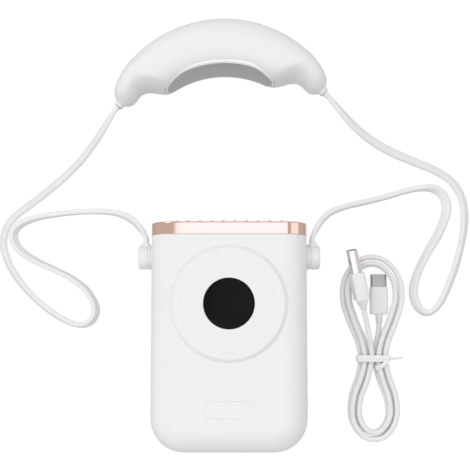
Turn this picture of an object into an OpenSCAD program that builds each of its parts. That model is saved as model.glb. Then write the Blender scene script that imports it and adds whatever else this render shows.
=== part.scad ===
// Neck fan: a blower housing hung from a cooled neck pad on two flat leads, laid out flat,
// with its charging cable tied in a hank beside it. The back of the housing lies on z = 0.

/* [Housing] */
// Width of the housing, side to side
body_w = 79; // [76:1:86]
// Length of the two shells, without the top trim
shell_len = 109; // [106:1:120]
// Depth of the housing, back to front
body_d = 34; // [33:0.5:38]
// Radius of the long edges
edge_r = 11; // [9:0.5:12]
// Radius of the bottom corners, seen from the front
corner_r = 17; // [15:0.5:20]
// Wall thickness of the shells
wall = 2; // [1.6:0.1:2.2]
// Outer radius of the screw bosses
boss_r = 2.7; // [2.4:0.1:3]

/* [Top trim and outlet grille] */
// Height of the plated trim round the outlet
trim_h = 6.4; // [5:0.2:8]
// Bevel on the trim's upper edge
trim_bevel = 0.7; // [0.4:0.1:1]
// Number of bars across the outlet
bar_n = 10; // [8:1:12]
// Width of one bar
bar_w = 1.5; // [1.2:0.1:2]
// Height that the bars stand above the trim
bar_proud = 1.2; // [0.4:0.1:1.4]
// Depth of one bar
bar_h = 3.2; // [2.4:0.2:4]
// Wall of the grille's frame
frame_t = 1.5; // [1.2:0.1:2]

/* [Front disc and display] */
// Distance from the shells' top edge down to the disc's centre
disc_drop = 35; // [34:0.5:37]
// Radius of the ridged front disc
disc_r = 29.2; // [27:0.2:31]
// Height that the disc stands above the front face
disc_proud = 1.2; // [0.8:0.1:1.8]
// Depth of the recess that the disc is seated in
disc_seat = 0.8; // [0.5:0.1:1]
// Number of fine ridges on the disc
ridge_n = 10; // [8:1:12]
// Height of one ridge
ridge_h = 0.2; // [0.2:0.05:0.4]
// Radius of the black display window
lens_r = 12.8; // [11:0.2:14]
// Length of the bare pill outline low on the front
badge_w = 25.4; // [20:0.2:30]
// Height of the bare pill outline
badge_h = 9; // [7:0.2:11]
// Height of the pill's centre above the housing's bottom edge
badge_rise = 21.2; // [18:0.2:24]

/* [Blower] */
// Space from the side wall to the impeller's rim
imp_flank = 15.5; // [14.5:0.5:17.5]
// Width of the ring of blades, from its inside to the rim
blade_ring = 6.5; // [5.5:0.1:8]
// Space between the scroll's lid and the display's board
lid_space = 3.7; // [3.3:0.1:6.3]
// Number of blades
blade_n = 28; // [20:1:32]
// Thickness of one blade
blade_t = 0.8; // [0.6:0.1:1]
// Thickness of the scroll's walls
scroll_t = 1.2; // [1:0.1:1.5]
// Space from the side wall to the scroll's mouth at the outlet
mouth_flank = 6.5; // [6:0.5:8.5]
// Distance that the intake opening in the back is wider than the impeller's eye
intake_lap = 1.1; // [0:0.1:1.5]

/* [Motor] */
// Radius of the motor's shaft
shaft_r = 1; // [0.8:0.1:1.2]
// Outer radius of the two ball bearings
bearing_r = 2.5; // [2.2:0.1:2.8]
// Thickness of one bearing
bearing_h = 2.3; // [1.8:0.1:2.6]
// Outer radius of the rotor can
can_r = 8.2; // [7.8:0.1:9]
// Wall of the rotor can
can_t = 0.9; // [0.7:0.1:1.1]

/* [Battery and boards] */
// Space from the side wall to the battery pouch
battery_flank = 12.5; // [12:0.5:15]
// Space from the scroll to the battery pouch's upper end
battery_space = 8; // [7:0.5:14]
// Space between the battery pouch and the main board
battery_under = 1.5; // [1.3:0.1:2.9]
// Thickness of the circuit boards
board_t = 1.6; // [1:0.1:1.6]
// Width of the charging socket's metal mouth
port_w = 8.94; // [8.94:0.01:9]
// Height of the charging socket's metal mouth
port_h = 3.2; // [3.16:0.02:3.26]
// Length of the charging socket
port_l = 7.3; // [6.5:0.1:8]

/* [Side buttons] */
// Length of one button cap
button_w = 10; // [8:0.5:11]
// Height of one button cap
button_h = 5; // [4:0.2:6]
// Travel of one button
button_travel = 0.6; // [0.4:0.1:0.6]
// Height that a cap stands out of the side
button_proud = 0.4; // [0.3:0.1:0.8]

/* [Knuckles] */
// Radius of the round knuckle that a lead enters
puck_r = 6.2; // [5.5:0.1:7]
// Length of the knuckle along its axis
puck_l = 6.3; // [5.5:0.1:7]
// Distance from the shells' top edge down to the knuckle's axis
puck_drop = 10.3; // [9.6:0.1:11]
// Radius of the knuckle's trunnion
trunnion_r = 3; // [2.6:0.1:3.2]
// Bore of the trunnion, for the wires
wire_r = 1.5; // [1.2:0.1:1.7]

/* [Neck pad] */
// Height of the neck pad along the neck
pad_h = 36; // [34:0.5:40]
// Radius of the pad's outer face about the neck
pad_r = 67.9; // [66:0.1:70]
// Radius of the cold plate across the neck
plate_bend_r = 50; // [48:0.5:54]
// Crown radius of the cold plate along the neck
plate_crown_r = 24; // [22:0.5:28]
// Half length of the cold plate's bezel
bezel_half = 27.6; // [26:0.2:28]
// Half height of the cold plate's bezel
bezel_rise = 15.4; // [14:0.2:15.6]
// Visible width of the bezel
bezel_w = 2; // [1.6:0.1:2.4]
// Thickness of the cold plate
plate_t = 2; // [1.6:0.1:2.2]
// Side of the square cooling chip
chip_w = 20; // [16:0.5:21]
// Thickness of the cooling chip
chip_t = 3.4; // [3:0.1:3.8]
// Number of fins on the heat sink
fin_n = 9; // [7:1:11]

/* [Leads] */
// Width of the flat lead
lead_w = 5; // [4.6:0.1:5.2]
// Thickness of the flat lead
lead_t = 2.6; // [2.2:0.1:2.7]

/* [Charging cable] */
// Diameter of the charging cable
cable_d = 2.8; // [2.4:0.1:2.9]
// Step from one strand to the next in the hank
strand_step = 3.6; // [3.4:0.05:3.8]
// Length of the USB-A shell that shows
usb_a_l = 12; // [11:0.5:13]
// Length of the USB-C tip
usb_c_l = 6.6; // [6:0.1:7]

/* [Fits] */
// Clearance between pieces that lie face to face
fit = 0.1; // [0.05:0.05:0.15]
// Radial running clearance of shafts and trunnions
run_gap = 0.04; // [0.02:0.01:0.08]
// Overrun of a cut past the face it opens
over = 0.6; // [0.4:0.1:1]

/* [Hidden] */
$fn = 48;

white = [0.95, 0.95, 0.96];
rose_gold = [0.86, 0.66, 0.57];
steel = [0.75, 0.76, 0.78];
board_green = [0.10, 0.38, 0.24];

// Edges and planes of the housing
half_w = body_w / 2;
y_low = -(shell_len + trim_h) / 2;
y_shell = y_low + shell_len;
y_top = y_shell + trim_h;
z_mid = body_d / 2;
z_in = body_d - wall;
side_in = half_w - wall;
fan_y = y_shell - disc_drop;
badge_y = y_low + badge_rise;
lens_ledge = 1.5;

// Screw bosses: two beside the blower, two in the bottom corners
boss_step = 2.5;
boss_up_y = 10.7;
boss_root = 0.85 * wall;
boss_drop = 5;
boss_split = z_mid - boss_drop;
corner_boss_out = 2;
corner_boss = corner_r - edge_r + corner_boss_out;
corner_boss_shares = [0.88, -0.475];
screw_r = 0.85;
screw_head_r = 1.9;
screw_head_h = 1.5;
screw_sink = 1.1;
screw_spots = [for (side = [-1, 1]) each [
    [side * (half_w - edge_r + boss_step), fan_y + boss_up_y],
    [side * (half_w - corner_r + corner_boss * corner_boss_shares[0]),
        y_low + corner_r + corner_boss * corner_boss_shares[1]]]];

// Blower, from the back wall forward
guard_t = 1;
intake_lip = 1.8;
imp_r = side_in - imp_flank;
eye_r = imp_r - blade_ring;
intake_r = eye_r + intake_lap;
mouth_half = side_in - mouth_flank;
floor_z = wall + guard_t + fit;
scroll_near = 1.8;
scroll_grow = 2.8;
scroll_r0 = imp_r + scroll_near;
scroll_r1 = scroll_r0 + scroll_grow;
scroll_from = 140;
scroll_to = 360;
scroll_steps = 22;
face_board_depth = 6.4;
face_board_z = z_in - face_board_depth;
lid_z = face_board_z - lid_space - scroll_t;
blade_under = 0.9;
blade_z = floor_z + scroll_t + blade_under;
imp_over = 2.9;
blade_h = lid_z - imp_over - blade_z;
imp_cap = 1.2;
imp_top = blade_z + blade_h + imp_cap;
skirt_h = 2.6;
mouth_y = y_shell - skirt_h - fit;
flare_drop = 3;
flare_y = y_shell - puck_drop - flare_drop;

// Motor, hung from the scroll's lid
cup_share = 0.254;
cup_z = blade_z + cup_share * blade_h;
cup_t = 1.1;
can_z = cup_z + cup_t + fit;
base_t = 1;
base_z = lid_z - fit - base_t;
tube_t = 0.9;
tube_r = bearing_r + tube_t;
magnet_gap = 0.4;
tube_z = can_z + can_t + magnet_gap;

// Boards, battery and socket
socket_z = z_mid;
board_z = socket_z - port_h / 2 - board_t;
foam_t = 0.7;
battery_z = wall + foam_t + 2 * fit;
battery_y = y_low + edge_r + 3 * fit
    - sqrt(pow(edge_r - wall, 2) - pow(edge_r - battery_z, 2));
battery_w = 2 * (side_in - battery_flank);
battery_l = fan_y - scroll_r1 - battery_space - battery_y;
battery_h = board_z - battery_under - battery_z;
board_l = 35;
board_tab_l = 11.5;
board_rise = 5;
board_flank = 8;
board_low_y = y_low + board_rise;
board_step_y = board_low_y + board_tab_l;
board_top_y = board_low_y + board_l;
board_half = side_in - board_flank;
tab_half = 15;
post_r = 2;
pilot_r = 0.7;
small_head_r = 1.5;
small_head_h = 1.2;
post_in = 2.5;
tab_post_in = 3;
board_post_up = 13.5;
tab_post_up = 5;
chip = 5;
coil_r = 3;
board_posts = [for (side = [-1, 1]) each [
    [side * (board_half - post_in), board_step_y + board_post_up],
    [side * (tab_half - tab_post_in), board_low_y + tab_post_up]]];
face_board_half = 17;
face_board_rise = 13;
face_post_x = 13.5;
face_post_up = 10;
face_post_down = 14.2;
face_posts = [[-face_post_x, face_post_up], [face_post_x, face_post_up], [0, -face_post_down]];

// Buttons on the right side
button_down = 3;
button_step = 13;
button_ys = [board_top_y - button_down, board_top_y - button_down - button_step];
button_lip = 1;
button_lip_t = 1.1;
switch_in = 1;
switch_x = board_half - switch_in;
switch_l = 4.4;
switch_w = 6;
switch_h = 3.2;
plunger_in = 3.3;
plunger_end = side_in - plunger_in;

// Knuckles: the axis is X, through the parting plane
puck_y = y_shell - puck_drop;
washer_lip = 0.6;
washer_r = puck_r + washer_lip;
washer_t = 0.7;
puck_x = half_w + washer_t + fit;
puck_round = 1.3;
saddle_t = 2;
saddle_r = trunnion_r + saddle_t;
saddle_l = 2;
clip_t = 0.8;
clip_x = side_in - saddle_l - fit - clip_t;
trunnion_lip = 0.8;
trunnion_end = clip_x - trunnion_lip;
collar_share = 0.43;
collar_x = puck_x + puck_l * collar_share;
collar_h = 1.2;
collar_wall = 0.7;
collar_t = lead_t + 2 * collar_wall;
collar_w = lead_w + 2 * collar_wall;

// Neck pad: polar stations about the neck, shared by both sides
pad_x = -2.4;
pad_y = 98;
pad_turn = 3.8;
pad_mid = pad_h / 2;
pad_angles = [0, 10, 20, 28, 34, 39, 42, 44.5, 47, 50, 53.5, 57, 59.5, 61.5, 63.2];
pad_in_shares = [0.577, 0.579, 0.585, 0.592, 0.6, 0.609, 0.622, 0.654, 0.695, 0.73, 0.745,
    0.748, 0.757, 0.783, 0.84];
pad_out_shares = [1, 0.999, 0.997, 0.994, 0.991, 0.988, 0.985, 0.984, 0.981, 0.976, 0.97,
    0.96, 0.948, 0.925, 0.884];
pad_high_shares = [1, 1, 1, 1, 1, 1, 1, 0.989, 0.967, 0.922, 0.856, 0.767, 0.656, 0.478, 0.2];
pad_square = 2.25;
pad_round_n = 24;
plate_share = 0.573;
plate_y = pad_r * plate_share;
plate_c = plate_y - plate_bend_r;
pocket_half = 21;
pocket_rise = 13.6;
pocket_l = 20.4;
pocket_y = plate_y + pocket_l;
chip_y = plate_y + plate_t + 2 * fit + plate_crown_r
    - sqrt(pow(plate_crown_r, 2) - pow(chip_w / 2, 2));
bezel_t = 2.4;
bezel_proud = 0.4;
window_y = plate_y + plate_crown_r
    - sqrt(pow(plate_crown_r - bezel_t - fit, 2) - pow(bezel_rise + fit, 2));
sink_y = chip_y + chip_t + fit;
sink_half = 19;
sink_base = 2;
fin_h = 8;
fin_t = 0.8;
sink_screw_x = 15.5;
pad_board_t = 1.2;

// Strap boots at the pad's tips
boot_angle = 62.4;
boot_out = 12.7;
boot_share = 0.874;
boot_r = pad_r * boot_share;
boot_l = 5;
boot_show = 1.2;
boot_wall = 1;
boot_t = lead_t + 2 * boot_wall;
boot_w = lead_w + 2 * boot_wall;

// Routes of the two flat leads, from pad to knuckle: x, y, z and lean off upright
lead_chamfer = 0.9;
left_route = [
    [-58.2, 119.9, 18, 0], [-60, 117.5, 17.9, 4], [-65, 109.3, 17, 20],
    [-71, 100.8, 14.4, 32], [-78, 92.6, 11.2, 34], [-86, 85.2, 7.8, 32], [-95, 78.2, 4.8, 26],
    [-104, 71.4, 3.2, 20], [-111.8, 65.6, 2.8, 14], [-116.4, 60.6, 2.8, 10],
    [-118.8, 55, 2.8, 8], [-119.2, 48.6, 2.8, 8], [-117.2, 41.4, 2.8, 10],
    [-113.4, 34.2, 2.8, 12], [-108, 27, 2.8, 14], [-101.4, 20.2, 2.8, 14],
    [-94, 14.2, 2.8, 12], [-86.4, 9.5, 2.8, 8], [-80, 7.1, 2.8, 4], [-74.8, 7.4, 2.8, 2],
    [-71.2, 10.4, 2.8, 4], [-70, 15, 2.8, 10], [-71.8, 20.2, 2.8, 16], [-76, 26, 2.8, 20],
    [-83.6, 31.6, 2.8, 24], [-92.4, 36, 2.8, 24], [-101, 40, 2.8, 22],
    [-108.4, 44.6, 2.8, 18], [-112.6, 49, 2.8, 14], [-114, 53.8, 2.8, 10],
    [-112.4, 58, 2.8, 8], [-108, 61.2, 2.8, 6], [-101, 63.6, 2.8, 4], [-92, 65.2, 3, 2],
    [-80, 66.2, 5, 2], [-68, 66, 8.6, 6], [-58, 64.4, 12.2, 12], [-50.4, 60.6, 14.8, 16],
    [-45.4, 55.4, 16.4, 10], [-43, 51.2, 17, 0], [-43, 48.4, 17, 0]];
right_route = [
    [50, 127.1, 18, 0], [52.2, 124.8, 17.9, -4], [58.4, 117.6, 16.8, -20],
    [66.4, 109.6, 13.8, -34], [76.4, 102.6, 10, -34], [87.6, 97.2, 6.4, -30],
    [99.4, 92.8, 3.8, -24], [109.6, 88.6, 2.9, -18], [117.2, 83.6, 2.8, -12],
    [122.2, 76.6, 2.8, -8], [124.4, 67.6, 2.8, -6], [124, 57.6, 2.8, -8],
    [122, 47.6, 2.8, -12], [119.2, 37.6, 2.8, -16], [115.4, 27.8, 2.8, -16],
    [111.6, 19.8, 2.8, -12], [108, 15.2, 2.8, -8], [104.4, 13.2, 2.8, -4],
    [100.8, 14.2, 2.8, 0], [98, 17.8, 2.8, -6], [96.8, 23.2, 2.8, -12],
    [97.4, 29.4, 2.8, -18], [100.6, 37.6, 2.8, -24], [105.2, 46.2, 2.8, -28],
    [109.8, 53.8, 2.8, -28], [113.2, 61.2, 2.8, -22], [115, 68.2, 2.8, -16],
    [113.6, 74.8, 2.8, -10], [109.2, 78.6, 2.8, -6], [102.8, 79.4, 2.8, -2],
    [94, 77.8, 2.9, -2], [82, 74.2, 4.2, -4], [70, 70.8, 7.6, -8], [60, 68, 11.2, -14],
    [51.6, 64, 14.2, -18], [46, 57.6, 16, -10], [43, 51.2, 17, 0], [43, 48.4, 17, 0]];

// Charging cable: a spiral of figure-eight loops in two layers, and its two short leads
hank_x = 75;
hank_y = -5.75;
hank_half = 42.2;
waist_y = -10.7;
waist_half = 0.95;
waist_c = (waist_y - hank_y) / hank_half;
top_wide = 15.4;
low_wide = 12.4;
layer_z = 3.5;
floor_gap = 0.1;
tie_lift = 0.9;
loop_rings = 24;
hank_from = 97;
hank_to = 263 + 3 * 360;
cable_sides = 6;
lead_in = [[69.6, 14.6, 12.2], [70.6, 9.8, 11.5], [71.6, 5, 10.4], [72.7, 0, 8.8],
    [73.6, -5, 7]];
lead_out = [[76.4, -5, 2.3], [77.4, 0, 2.6], [78.2, 4, 3.1], [78.4, 7.8, 3.2]];

// Tie round the waist
tie_t = 0.7;
tie_w = 3.4;
tie_slack = 0.5;
tie_half = waist_half + 1.5 * strand_step + cable_d / 2 + tie_slack;

// Plugs: where their cords leave them, and how they lie
function plug_way(lean, rise) = [-sin(lean) * cos(rise), cos(lean) * cos(rise), sin(rise)];
usb_a_lean = 12;
usb_a_rise = 8;
usb_a_at = lead_in[0] + fit * plug_way(usb_a_lean, usb_a_rise);
usb_a_w = 12;
usb_a_t = 4.5;
usb_a_wall = 0.35;
usb_a_body_l = 14.4;
usb_a_body_w = 15.4;
usb_a_body_t = 7;
usb_a_relief_l = 4.8;
usb_a_relief_w = 5.2;
usb_c_lean = 0;
usb_c_at = lead_out[len(lead_out) - 1] + fit * plug_way(usb_c_lean, 0);
usb_c_w = 8.34;
usb_c_t = 2.5;
usb_c_wall = 0.3;
usb_c_body_l = 14.2;
usb_c_body_w = 9.4;
usb_c_body_t = 5.6;
usb_c_relief_l = 4.6;
usb_c_relief_w = 3.9;

// Flat outlines, drawn about their centre
module pill(w, h) {
    hull_r = h / 2;
    square([w - h, h], center = true);
    for (side = [-1, 1]) translate([side * (w - h) / 2, 0]) circle(hull_r);
}

module round_rect(w, h, r) {
    square([w - 2 * r, h], center = true);
    square([w, h - 2 * r], center = true);
    for (i = [-1, 1], j = [-1, 1]) translate([i * (w / 2 - r), j * (h / 2 - r)]) circle(r);
}

// Side wall shapes lie in the YZ plane; end shapes lie in the XZ plane
module along_x(x, l) { translate([x, 0, 0]) rotate([90, 0, 90]) linear_extrude(l) children(); }
module along_y(y, l) {
    translate([0, y + l, 0]) rotate([90, 0, 0]) linear_extrude(l) children();
}

// Rings of points joined into one closed skin
function ring_faces(rings, sides) = concat(
    [for (i = [0 : rings - 2], j = [0 : sides - 1]) each [
        [i * sides + j, i * sides + (j + 1) % sides, (i + 1) * sides + (j + 1) % sides],
        [i * sides + j, (i + 1) * sides + (j + 1) % sides, (i + 1) * sides + j]]],
    [[for (j = [sides - 1 : -1 : 0]) j]],
    [[for (j = [0 : sides - 1]) (rings - 1) * sides + j]]);

module skin(rings) {
    polyhedron([for (ring = rings) each ring], ring_faces(len(rings), len(rings[0])));
}

function unit(v) = v / norm(v);
function heading(path, i) =
    unit(path[min(i + 1, len(path) - 1)] - path[max(i - 1, 0)]);
function across(t) = unit(cross(t, [0, 0, 1]));

// The whole outer or inner form of the housing, open at the top
module slab(inset, y_end) {
    r = edge_r - inset;
    major = corner_r - edge_r;
    hull() for (side = [-1, 1], z = [edge_r, body_d - edge_r]) {
        translate([side * (half_w - corner_r), y_low + corner_r, z])
            rotate_extrude($fn = 32) intersection() {
                translate([major, 0]) circle(r, $fn = 32);
                translate([0, -r]) square([major + r, 2 * r]);
            }
        translate([side * (half_w - edge_r), y_end, z]) rotate([90, 0, 0])
            cylinder(r = r, h = trim_h, $fn = 32);
    }
}

module half_box(side, z_from, z_to) {
    translate([-body_w, y_low - wall, min(side * z_from, side * z_to)])
        cube([2 * body_w, shell_len + wall, abs(z_to - z_from)]);
}

module saddles() {
    for (side = [-1, 1]) {
        translate([side * (side_in - saddle_l / 2 + wall / 4), puck_y, z_mid]) rotate([0, 90, 0])
            cylinder(r = saddle_r, h = saddle_l + wall / 2, center = true);
        translate([side * (half_w + washer_t / 2 - wall / 4), puck_y, z_mid]) rotate([0, 90, 0])
            cylinder(r = washer_r, h = washer_t + wall / 2, center = true);
    }
}

// Everything that crosses the parting plane is cut out of both shells
module parting_cuts() {
    translate([0, puck_y, z_mid]) rotate([0, 90, 0])
        cylinder(r = trunnion_r + run_gap, h = 2 * puck_x, center = true);
    for (y = button_ys) translate([0, y, z_mid]) along_x(side_in - over, wall + 2 * over)
        pill(button_w + 2 * fit, button_h + 2 * fit);
    translate([0, 0, socket_z]) along_y(y_low - over, wall + 2 * over)
        pill(port_w + 4 * fit, port_h + 4 * fit);
}

module front_shell() {
    color(white) difference() {
        union() {
            difference() {
                intersection() {
                    slab(0, y_shell);
                    half_box(1, z_mid, body_d);
                }
                slab(wall, y_shell + over + trim_h);
            }
            intersection() {
                saddles();
                half_box(1, z_mid, body_d);
            }
            for (p = screw_spots) translate([p[0], p[1], boss_split])
                cylinder(r = boss_r, h = body_d - boss_root - boss_split);
            for (p = board_posts) translate([p[0], p[1], board_z + board_t + fit])
                cylinder(r = post_r, h = body_d - boss_root - board_z - board_t - fit);
            for (p = face_posts) translate([p[0], fan_y + p[1], face_board_z + board_t + fit])
                cylinder(r = post_r, h = body_d - boss_root - face_board_z - board_t - fit);
        }
        parting_cuts();
        translate([0, fan_y, body_d - disc_seat]) cylinder(r = disc_r + fit, h = wall, $fn = 96);
        translate([0, fan_y, z_in - over]) cylinder(r = lens_r - lens_ledge, h = wall + over);
        translate([0, badge_y, body_d - 0.15 * wall]) linear_extrude(wall) difference() {
            pill(badge_w, badge_h);
            pill(badge_w - 0.4 * wall, badge_h - 0.4 * wall);
        }
        for (p = screw_spots) translate([p[0], p[1], boss_split - over])
            cylinder(r = screw_r + fit / 2, h = z_mid + over - wall);
        for (p = board_posts) translate([p[0], p[1], board_z])
            cylinder(r = pilot_r + fit / 2, h = z_mid - 2 * wall);
        for (p = face_posts) translate([p[0], fan_y + p[1], face_board_z])
            cylinder(r = pilot_r + fit / 2, h = z_in - wall - face_board_z);
    }
}

module back_shell() {
    color(white) difference() {
        union() {
            difference() {
                intersection() {
                    slab(0, y_shell);
                    half_box(1, 0, z_mid);
                }
                slab(wall, y_shell + over + trim_h);
            }
            intersection() {
                saddles();
                half_box(1, 0, z_mid);
            }
            for (p = screw_spots) translate([p[0], p[1], boss_root])
                cylinder(r = boss_r, h = boss_split - fit - boss_root);
        }
        parting_cuts();
        translate([0, fan_y, -over]) cylinder(r = intake_r, h = wall + 2 * over, $fn = 64);
        for (p = screw_spots) translate([p[0], p[1], -over]) {
            cylinder(r = screw_r + 3 * fit, h = boss_split + 2 * over);
            cylinder(r = screw_head_r + 2 * fit, h = over + screw_head_h + screw_sink);
        }
    }
}

module ring_band(inset, l, y, t) {
    along_y(y, l) translate([0, z_mid]) difference() {
        round_rect(body_w - 2 * inset, body_d - 2 * inset, edge_r - inset);
        round_rect(body_w - 2 * (inset + t), body_d - 2 * (inset + t), edge_r - inset - t);
    }
}

module top_trim() {
    color(rose_gold) difference() {
        hull() {
            along_y(y_shell, trim_h - trim_bevel) translate([0, z_mid])
                round_rect(body_w, body_d, edge_r, $fn = 32);
            along_y(y_shell, trim_h) translate([0, z_mid])
                round_rect(body_w - 2 * trim_bevel, body_d - 2 * trim_bevel,
                    edge_r - trim_bevel, $fn = 32);
        }
        along_y(y_shell - over, trim_h + 2 * over) translate([0, z_mid])
            round_rect(body_w - 2 * wall, body_d - 2 * wall, edge_r - wall);
    }
}

module outlet_grille() {
    inset = wall + fit;
    pitch = (body_w - 2 * (edge_r + wall)) / (bar_n - 1);
    crest = y_top + bar_proud;
    rib = bar_w + fit;
    color(white) {
        ring_band(inset, skirt_h + trim_h - trim_bevel, y_shell - skirt_h, frame_t);
        for (i = [0 : bar_n - 1]) translate([(i - (bar_n - 1) / 2) * pitch, 0, inset + fit])
            linear_extrude(body_d - 2 * (inset + fit)) {
                translate([-bar_w / 2, crest - bar_h]) square([bar_w, bar_h - bar_w / 2]);
                translate([0, crest - bar_w / 2]) circle(bar_w / 2);
            }
        for (z = [-1, 1]) translate([-side_in + fit + frame_t / 2, crest - bar_h - rib / 2,
                z_mid + z * body_d / 7 - rib / 2])
            cube([2 * (side_in - fit) - frame_t, rib, rib]);
    }
}

module intake_guard() {
    rib = 1;
    ring_n = 3;
    plug_r = intake_r - fit;
    color(white) {
        difference() {
            translate([0, fan_y, rib / 2]) cylinder(r = plug_r, h = wall + guard_t - rib / 2);
            translate([0, fan_y, -over])
                cylinder(r = plug_r - 1.5 * rib, h = wall + guard_t + 2 * over);
        }
        translate([0, fan_y, wall]) difference() {
            cylinder(r = intake_r + intake_lip, h = guard_t);
            translate([0, 0, -over]) cylinder(r = plug_r - rib, h = guard_t + 2 * over);
        }
        translate([0, fan_y, rib / 2]) {
            cylinder(r = intake_r / 5, h = 1.5 * rib);
            for (i = [1 : ring_n]) difference() {
                ring_out = intake_r * (i + 0.9) / (ring_n + 1.6);
                cylinder(r = ring_out, h = 1.5 * rib);
                translate([0, 0, -over]) cylinder(r = ring_out - rib, h = 1.5 * rib + 2 * over);
            }
            for (a = [0 : 60 : 300]) rotate([0, 0, a]) translate([0, -rib / 2, 0])
                cube([plug_r - rib, rib, 1.5 * rib]);
        }
    }
}

// The disc's top is a row of low ridges that run round it
module front_disc() {
    base = body_d - disc_seat;
    crown = body_d + disc_proud;
    inner = lens_r + fit;
    edge = disc_proud * 0.7;
    first = inner + edge;
    pitch = (disc_r - 2 * edge - first) / ridge_n;
    color(white) translate([0, fan_y, 0]) rotate_extrude($fn = 96) {
        polygon(concat([[inner, base], [disc_r, base], [disc_r, crown - edge]],
            [[disc_r - edge, crown - edge]],
            [for (i = [ridge_n : -1 : 0]) each [[first + i * pitch, crown],
                if (i > 0) [first + (i - 0.5) * pitch, crown + ridge_h]]],
            [[inner, crown]]));
        translate([disc_r - edge, crown - edge]) intersection() {
            circle(edge);
            square(edge);
        }
        translate([disc_r - 2 * edge, crown - edge]) square(edge);
    }
}

module display_window() {
    edge = disc_proud / 3;
    tall = disc_seat + disc_proud;
    color([0.05, 0.05, 0.06]) translate([0, fan_y, body_d - disc_seat]) rotate_extrude($fn = 64)
        polygon([[0, 0], [lens_r, 0], [lens_r, tall - edge], [lens_r - edge, tall], [0, tall]]);
}

module display_module() {
    seat = face_board_z + board_t;
    color([0.16, 0.16, 0.18]) translate([0, fan_y, seat]) {
        cylinder(r = lens_r - lens_ledge - wall / 3, h = body_d - disc_seat - seat - fit);
    }
}

module display_board() {
    color(board_green) difference() {
        translate([0, fan_y, face_board_z]) linear_extrude(board_t) difference() {
            union() {
                round_rect(2 * face_board_half, 2 * face_board_rise, post_r);
                translate([0, -face_board_rise]) circle(2 * post_r);
            }
            for (p = face_posts) translate(p) circle(pilot_r + fit);
        }
        translate([0, fan_y, face_board_z - over]) cylinder(r = post_r, h = over + board_t / 2);
    }
}

// The scroll's wall is a growing spiral that opens into the outlet's wide mouth
function scroll_line(grow, turn, top) = concat(
    [for (i = [0 : scroll_steps]) let (
        share = i / scroll_steps,
        a = scroll_from + turn + (scroll_to - scroll_from - turn) * share,
        r = scroll_r0 * pow(scroll_r1 / scroll_r0, share) + grow)
        [r * cos(a), fan_y + r * sin(a)]],
    [[scroll_r1 + grow, fan_y + scroll_r0 * 0.6 - grow / 3],
        [mouth_half + grow, flare_y + scroll_t - grow / 3], [mouth_half + grow, top],
        [-mouth_half - grow, top], [-mouth_half - grow, flare_y + 3 * scroll_t - grow]]);

module scroll_case() {
    wall_h = lid_z - floor_z - fit;
    color([0.86, 0.87, 0.89]) translate([0, 0, floor_z]) {
        linear_extrude(scroll_t) difference() {
            polygon(scroll_line(scroll_t, 4, mouth_y));
            translate([0, fan_y]) circle(eye_r);
        }
        linear_extrude(wall_h) difference() {
            polygon(scroll_line(scroll_t, 4, mouth_y));
            polygon(scroll_line(0, 0, mouth_y + over));
        }
    }
}

module scroll_lid() {
    color([0.86, 0.87, 0.89]) translate([0, 0, lid_z]) linear_extrude(scroll_t) difference() {
        polygon(scroll_line(scroll_t, 4, mouth_y));
        translate([0, fan_y]) circle(2 * shaft_r);
    }
}

// One forward-curved blade: a thin crescent from the blade ring's inside to its rim
function blade_line(side) = [for (i = [0 : 5]) let (
    share = i / 5,
    r = eye_r + 1.5 * blade_t + (imp_r - eye_r - 2 * blade_t) * share,
    a = 18 * share * share + side * asin(blade_t / 2 / r)) [r * cos(a), r * sin(a)]];

module impeller() {
    outer = can_r + fit / 2 + cup_t;
    color([0.55, 0.57, 0.60]) translate([0, fan_y, 0]) {
        for (k = [0 : blade_n - 1]) rotate([0, 0, 360 * k / blade_n])
            translate([0, 0, blade_z]) linear_extrude(blade_h + cup_t / 2) polygon(concat(
                blade_line(-1), [for (i = [5 : -1 : 0]) blade_line(1)[i]]));
        translate([0, 0, blade_z]) difference() {
            cylinder(r = imp_r, h = cup_t, $fn = 64);
            translate([0, 0, -over]) cylinder(r = eye_r + 2 * cup_t, h = cup_t + 2 * over, $fn = 64);
        }
        translate([0, 0, blade_z + blade_h]) difference() {
            cylinder(r = imp_r, h = imp_top - blade_z - blade_h, $fn = 64);
            translate([0, 0, -over]) cylinder(r = can_r + fit / 2, h = 2 * cup_t + 2 * over);
        }
        translate([0, 0, cup_z]) difference() {
            cylinder(r = outer, h = imp_top - cup_z);
            translate([0, 0, cup_t]) cylinder(r = can_r + fit / 2, h = imp_top - cup_z);
        }
    }
}

module rotor_can() {
    tall = imp_top - can_z - 2 * fit;
    color(steel) translate([0, fan_y, can_z]) {
        difference() {
            cylinder(r = can_r, h = tall);
            translate([0, 0, can_t]) cylinder(r = can_r - can_t, h = tall);
            translate([0, 0, -over]) cylinder(r = shaft_r + run_gap / 4, h = can_t + 2 * over);
        }
        translate([0, 0, 2 * can_t]) difference() {
            cylinder(r = can_r - can_t / 2, h = tall - 3 * can_t);
            translate([0, 0, -over]) cylinder(r = can_r - 1.7 * can_t, h = tall);
        }
    }
}

module motor_shaft() {
    color(steel) translate([0, fan_y, can_z + fit])
        cylinder(r = shaft_r, h = base_z + base_t - can_z - 3 * fit);
}

module motor_bearings() {
    color(steel) for (z = [tube_z + 2 * fit, base_z + base_t - bearing_h - 2 * fit])
        translate([0, fan_y, z]) difference() {
            cylinder(r = bearing_r, h = bearing_h);
            translate([0, 0, -over]) cylinder(r = shaft_r + run_gap, h = bearing_h + 2 * over);
        }
}

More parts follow.
